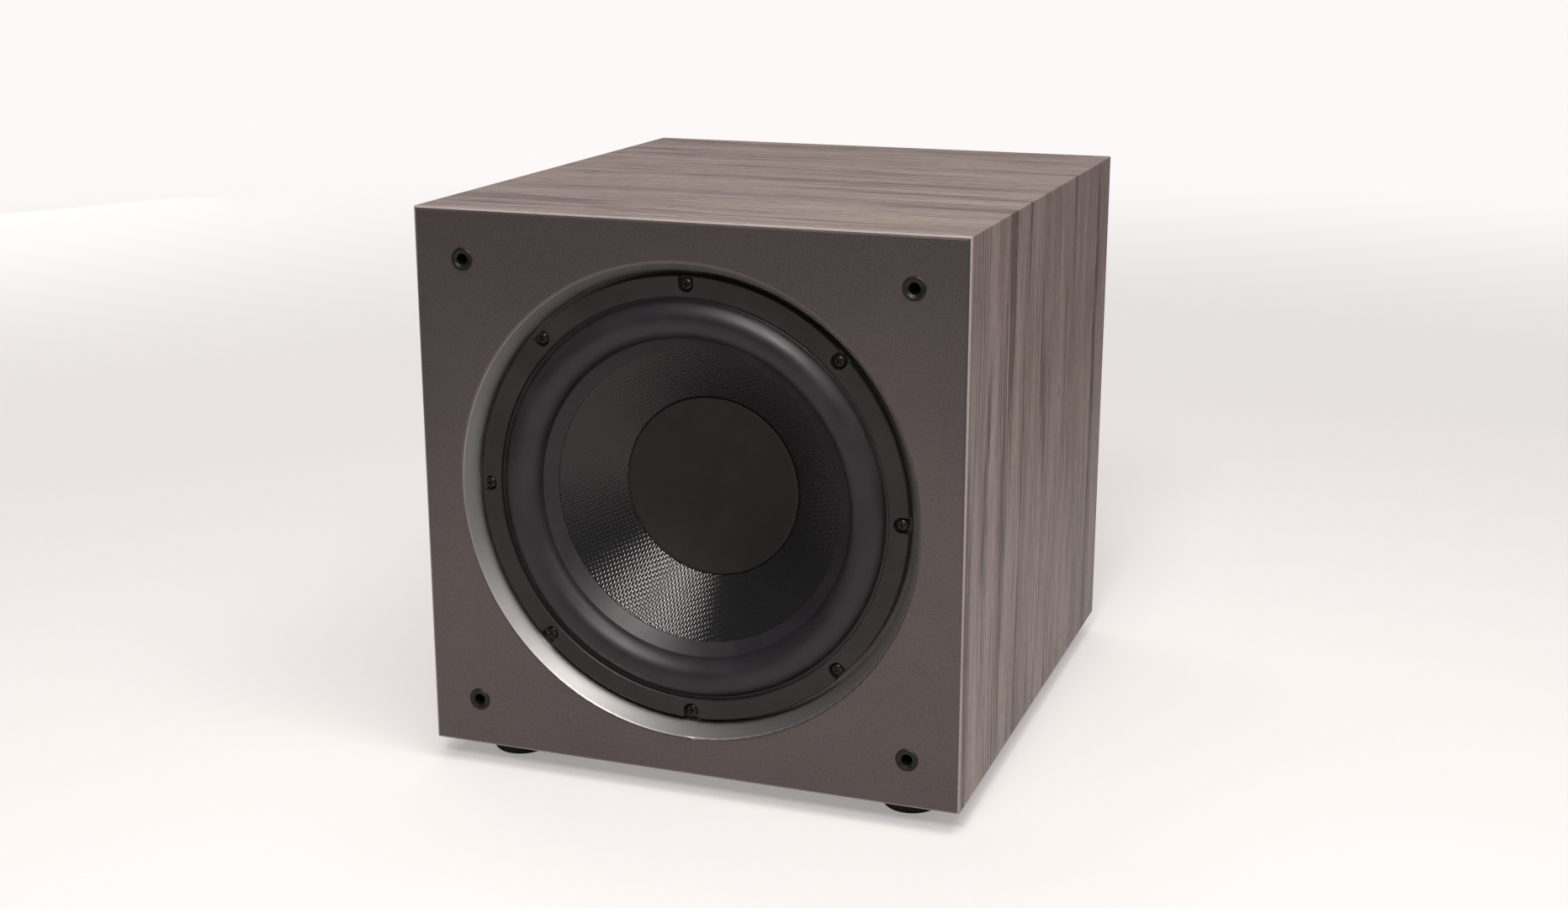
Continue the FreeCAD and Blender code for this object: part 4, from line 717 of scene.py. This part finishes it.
def spider_grid():
    """Corrugated disc: a collar on the former, then a sine of four waves in y along the radius, and a flat land."""
    land, front, _ = reach("spider")
    collar = reach("voice_coil_former")[0] + 0.0003
    level = front + spider_collar
    first, last = collar + 0.001, land - spider_land
    ways = np.linspace(0, 1, 12 * spider_waves + 1)
    wave = level - spider_swing * np.sin(2 * math.pi * spider_waves * ways)
    face = np.stack([first + ways * (last - first), wave], 1)
    edge = [(land, level), (land, level + spider_wall)]
    inside = [(collar, level + spider_wall), (collar, front), (first, front)]
    return turned(np.concatenate([face, edge, face[:0:-1] + (0, spider_wall), inside]), 192)


def braid_grid(x):
    """Braid: a circle carried along a smooth quadratic B-spline that lies in a plane of constant x.

    Each span is a sum of three places, with weights that are squares and products of the way along it. The row
    at each end is drawn together on the line, which closes it."""
    low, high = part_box("tinsel_leads")
    start = axis_height + reach("voice_coil_former")[0] + braid_reach
    y0, top = low.y + braid_radius, high.z - braid_radius
    stops = np.array([(y0, start), (y0 + 0.004, start + 0.012), (y0 + 0.0045, start + 0.027),
                      (y0 + 0.006, top - 0.0075), (y0 + 0.012, top - 0.0005), (high.y, top)])
    stops = np.concatenate([stops[:1] * 2 - stops[1:2], stops, stops[-1:] * 2 - stops[-2:-1]])
    a, b, c = stops[:-2, None], stops[1:-1, None], stops[2:, None]
    t = np.linspace(0, 1, 8, endpoint=False)[None, :, None]
    line = (a * (1 - t)**2 + b * (1 + 2 * t * (1 - t)) + c * t**2) / 2
    line = line.reshape(-1, 2)[4:-4]
    along = np.gradient(line, axis=0)
    along /= np.linalg.norm(along, axis=1, keepdims=True)
    line, along = (np.concatenate([v[:1], v, v[-1:]]) for v in (line, along))
    size = np.full((len(line), 1), braid_radius)
    size[[0, -1]] = 0
    turns = np.linspace(0, 2 * math.pi, 16, endpoint=False)
    side = size * np.sin(turns)
    return np.stack(np.broadcast_arrays(x + size * np.cos(turns), line[:, :1] - side * along[:, 1:],
                                        line[:, 1:] + side * along[:, :1]), -1)


def follow_cone(piece, fixed, moving):
    """Bakes the piece's placement into its mesh and works out, for each place, its distance from the driver's axis as
    a part w of the way from the fixed radius to the moving one, clipped to 0 and 1. Nothing is made of w: no share of
    the cone's travel is given to the piece."""
    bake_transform(piece)
    places = np.empty(len(piece.data.vertices) * 3)
    piece.data.vertices.foreach_get("co", places)
    places = places.reshape(-1, 3)
    radius = np.hypot(places[:, 0], places[:, 2] - axis_height)
    way = np.clip((fixed - radius) / (fixed - moving), 0, 1)


def dress_driver():
    """The soft and moving parts of the driver, each in place of its plain solid."""
    low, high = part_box("tinsel_leads")
    from_middle = (high.x - low.x) / 2 - braid_radius
    surround = grid_piece("surround_roll", surround_grid(), "surround")
    grid_piece("cone_cloth", cone_grid(), "cone", "cone_assembly")
    grid_piece("cap_dish", cap_grid(), "dust_cap", "cone_assembly", closed_rows=False)
    spider = grid_piece("spider_disc", spider_grid(), "spider")
    leads = [grid_piece("tinsel_lead_" + side, braid_grid(x), "tinsel_leads", closed_rows=False)
             for side, x in (("left", -from_middle), ("right", from_middle))]
    cone_edge, former = reach("cone")[0], reach("voice_coil_former")[0]
    follow_cone(surround, cone_edge + roll_width, cone_edge)
    follow_cone(spider, reach("spider")[0] - spider_land, former + spider_grip)
    for lead in leads:
        follow_cone(lead, high.z - axis_height - braid_end, former + braid_grip)


# ---- floor and background
def make_floor():
    """Wide pale floor that takes the object's shadow; gloss sees it bright near the object and dim beyond."""
    mesh = bpy.data.meshes.new("floor")
    half = 40.0
    mesh.from_pydata([(-half, -half, 0), (half, -half, 0), (half, half, 0), (-half, half, 0)], [], [(0, 1, 2, 3)])
    f = Finish("floor")
    camera, glossy, through = f.rays()
    ahead = f.y + 0.3
    distance = (f.x * f.x + ahead * ahead).power(0.5)
    near = 1 - distance.rise(0.55, 1.5)
    mirrored = glossy + through
    colour = f.mix(mirrored * (1 - near * 0.65) * 0.9, (0.82, 0.79, 0.78), (0.05, 0.05, 0.05))
    plain = f.node("ShaderNodeBsdfDiffuse", None, colour)
    glow = f.node("ShaderNodeEmission", None, (1.0, 0.975, 0.965), 1.0)
    white = camera * (distance.rise(0.7, 3.0) * 0.65 + 0.32) + mirrored * near * 0.1
    pale = f.node("ShaderNodeMixShader", None, white, plain, glow)
    f.node("ShaderNodeOutputMaterial", None, pale, out=None)
    mesh.materials.append(f.material)
    floor = bpy.data.objects.new("floor", mesh)
    bpy.context.scene.collection.objects.link(floor)


def make_sky():
    """Dim room light, white where it is looked at directly and a share of that in gloss and glass."""
    f = Finish("room", bpy.data.worlds)
    bpy.context.scene.world = f.material
    camera, glossy, through = f.rays()
    dim = f.node("ShaderNodeBackground", None, (0.95, 0.96, 1.0), 0.04)
    white = f.node("ShaderNodeBackground", None, (1.0, 0.98, 0.97), 0.95)
    seen = f.node("ShaderNodeMixShader", None, camera + (glossy + through) * 0.06, dim, white)
    f.node("ShaderNodeOutputWorld", None, seen, out=None)


# ---- the finish of each material slot
coats = {
    # The pale flare colour of the graphite paint is a painted highlight.
    "graphite_paint": (paint, (0.112, 0.094, 0.092), dict(roughness=0.34, metallic=0.7, bright=(0.42, 0.41, 0.40))),
    "black_steel": (paint, (0.014, 0.014, 0.014), dict(roughness=0.35, metallic=0.0)),
    "black_screw": (paint, (0.020, 0.020, 0.020), dict(roughness=0.30, metallic=0.6, grain=0.0003, depth=0.000008)),
    "plate_paint": (printed_plate, (0.024, 0.024, 0.025), {}),
    "fibreboard": (fibreboard, (0.36, 0.25, 0.15), {}),
    "rear_board": (fibreboard, (0.032, 0.031, 0.031), dict(dark=0.7)),
    "wadding": (wadding, (0.82, 0.82, 0.79), {}),
    "black_plastic": (moulded, (0.018, 0.018, 0.018), dict(roughness=0.42)),
    "grey_plastic": (moulded, (0.33, 0.33, 0.34), dict(roughness=0.48)),
    "cap_plastic": (moulded, (0.0115, 0.0100, 0.0090), dict(roughness=0.5, spark=0.0003, depth=0.00001, shine=0.25)),
    "lead_sheath": (moulded, (0.34, 0.02, 0.02), dict(roughness=0.38, spark=0.0005)),
    "nylon": (moulded, (0.78, 0.76, 0.68), dict(roughness=0.45)),
    "epoxy": (moulded, (0.022, 0.022, 0.022), dict(roughness=0.5, spark=0.0003)),
    "foot_rubber": (rubber, (0.016, 0.016, 0.016), dict(roughness=0.75)),
    "surround_rubber": (rubber, (0.0135, 0.0102, 0.0128), dict(roughness=0.42, bloom=0.25, shine=0.45)),
    "gasket_rubber": (rubber, (0.0145, 0.0130, 0.0120), dict(roughness=0.45, bloom=0.3, shine=0.35)),
    "seal_foam": (foam, (0.03, 0.03, 0.03), {}),
    "zinc": (plated, (0.62, 0.62, 0.58), dict(roughness=0.34)),
    "former": (plated, (0.80, 0.80, 0.80), dict(roughness=0.28)),
    "gold_plate": (plated, (0.86, 0.62, 0.26), dict(roughness=0.22, cloudy=0.9)),
    "alloy": (plated, (0.72, 0.72, 0.73), dict(roughness=0.32)),
    "motor_steel": (rough_steel, (0.50, 0.50, 0.50), {}),
    "ferrite": (stone_like, (0.035, 0.035, 0.038), {}),
    "woven_cone": (woven_cone, (0.009, 0.0088, 0.009), {}),
    "spider_cloth": (spider_cloth, (0.56, 0.38, 0.16), {}),
    "copper": (wound, (0.74, 0.34, 0.17), dict(pitch=0.00032)),
    "winding": (taped_coil, (0.70, 0.47, 0.10), {}),
    "braid": (braided, (0.62, 0.42, 0.24), {}),
    "phenolic": (layered, (0.30, 0.15, 0.055), {}),
    "circuit_board": (circuit_board, (0.012, 0.11, 0.045), {}),
    "capacitor_sleeve": (sleeved_can, (0.018, 0.024, 0.075), {}),
    "lamp": (lens, (0.03, 0.38, 0.07), {}),
    "fuse_glass": (clear_glass, (0.78, 0.82, 0.84), {}),
}

# ---- the scene
low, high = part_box("driver_basket")
axis_height = (low.z + high.z) / 2
bpy.context.scene.view_settings.view_transform = "Standard"
place_camera()
make_floor()
make_sky()
hang_lamp("key", (0.29, -0.35, 0.87), 2.2, (1.9, 0.9), 38, (1.0, 0.975, 0.96))
hang_lamp("front", (0.11, -0.77, 0.63), 2.2, (0.45, 0.45), 23, (1.0, 0.96, 0.94))
hang_lamp("right", (0.80, -0.35, 0.45), 2.4, (1.2, 1.0), 7, (1.0, 0.95, 0.93))
hang_lamp("rear", (-0.84, 0.53, 0.12), 2.4, (1.2, 1.2), 12, (1.0, 0.96, 0.94))
hang_lamp("back_top", (-0.20, 0.27, 0.94), 2.2, (1.4, 1.2), 13, (1.0, 0.95, 0.92))

slot_of = {part["node"]: part["material_slot"] for part in frame["record"]["subparts"]}
left_veneer, top_veneer, right_veneer = (wood_foil("veneer_" + name, unfold)
                                         for name, unfold in (("left", -1.0), ("top", 0.0), ("right", 1.0)))
finishes = {name: make(name, colour, **more) for name, (make, colour, more) in coats.items()}
finishes["veneer"] = top_veneer
finish_of = {"left_side_panel": left_veneer, "right_side_panel": right_veneer,
             "grille_sockets": moulded("socket_plastic", (0.0070, 0.0062, 0.0058), 0.4, shine=0.35)}
for knob in ("volume_knob", "crossover_knob"):
    finish_of[knob] = moulded(knob, (0.018, 0.018, 0.018), 0.42, knob=knob)
for node, holder in frame["nodes"].items():
    for place in holder.material_slots:
        place.material = finish_of.get(node, finishes[slot_of[node]])
dress_driver()
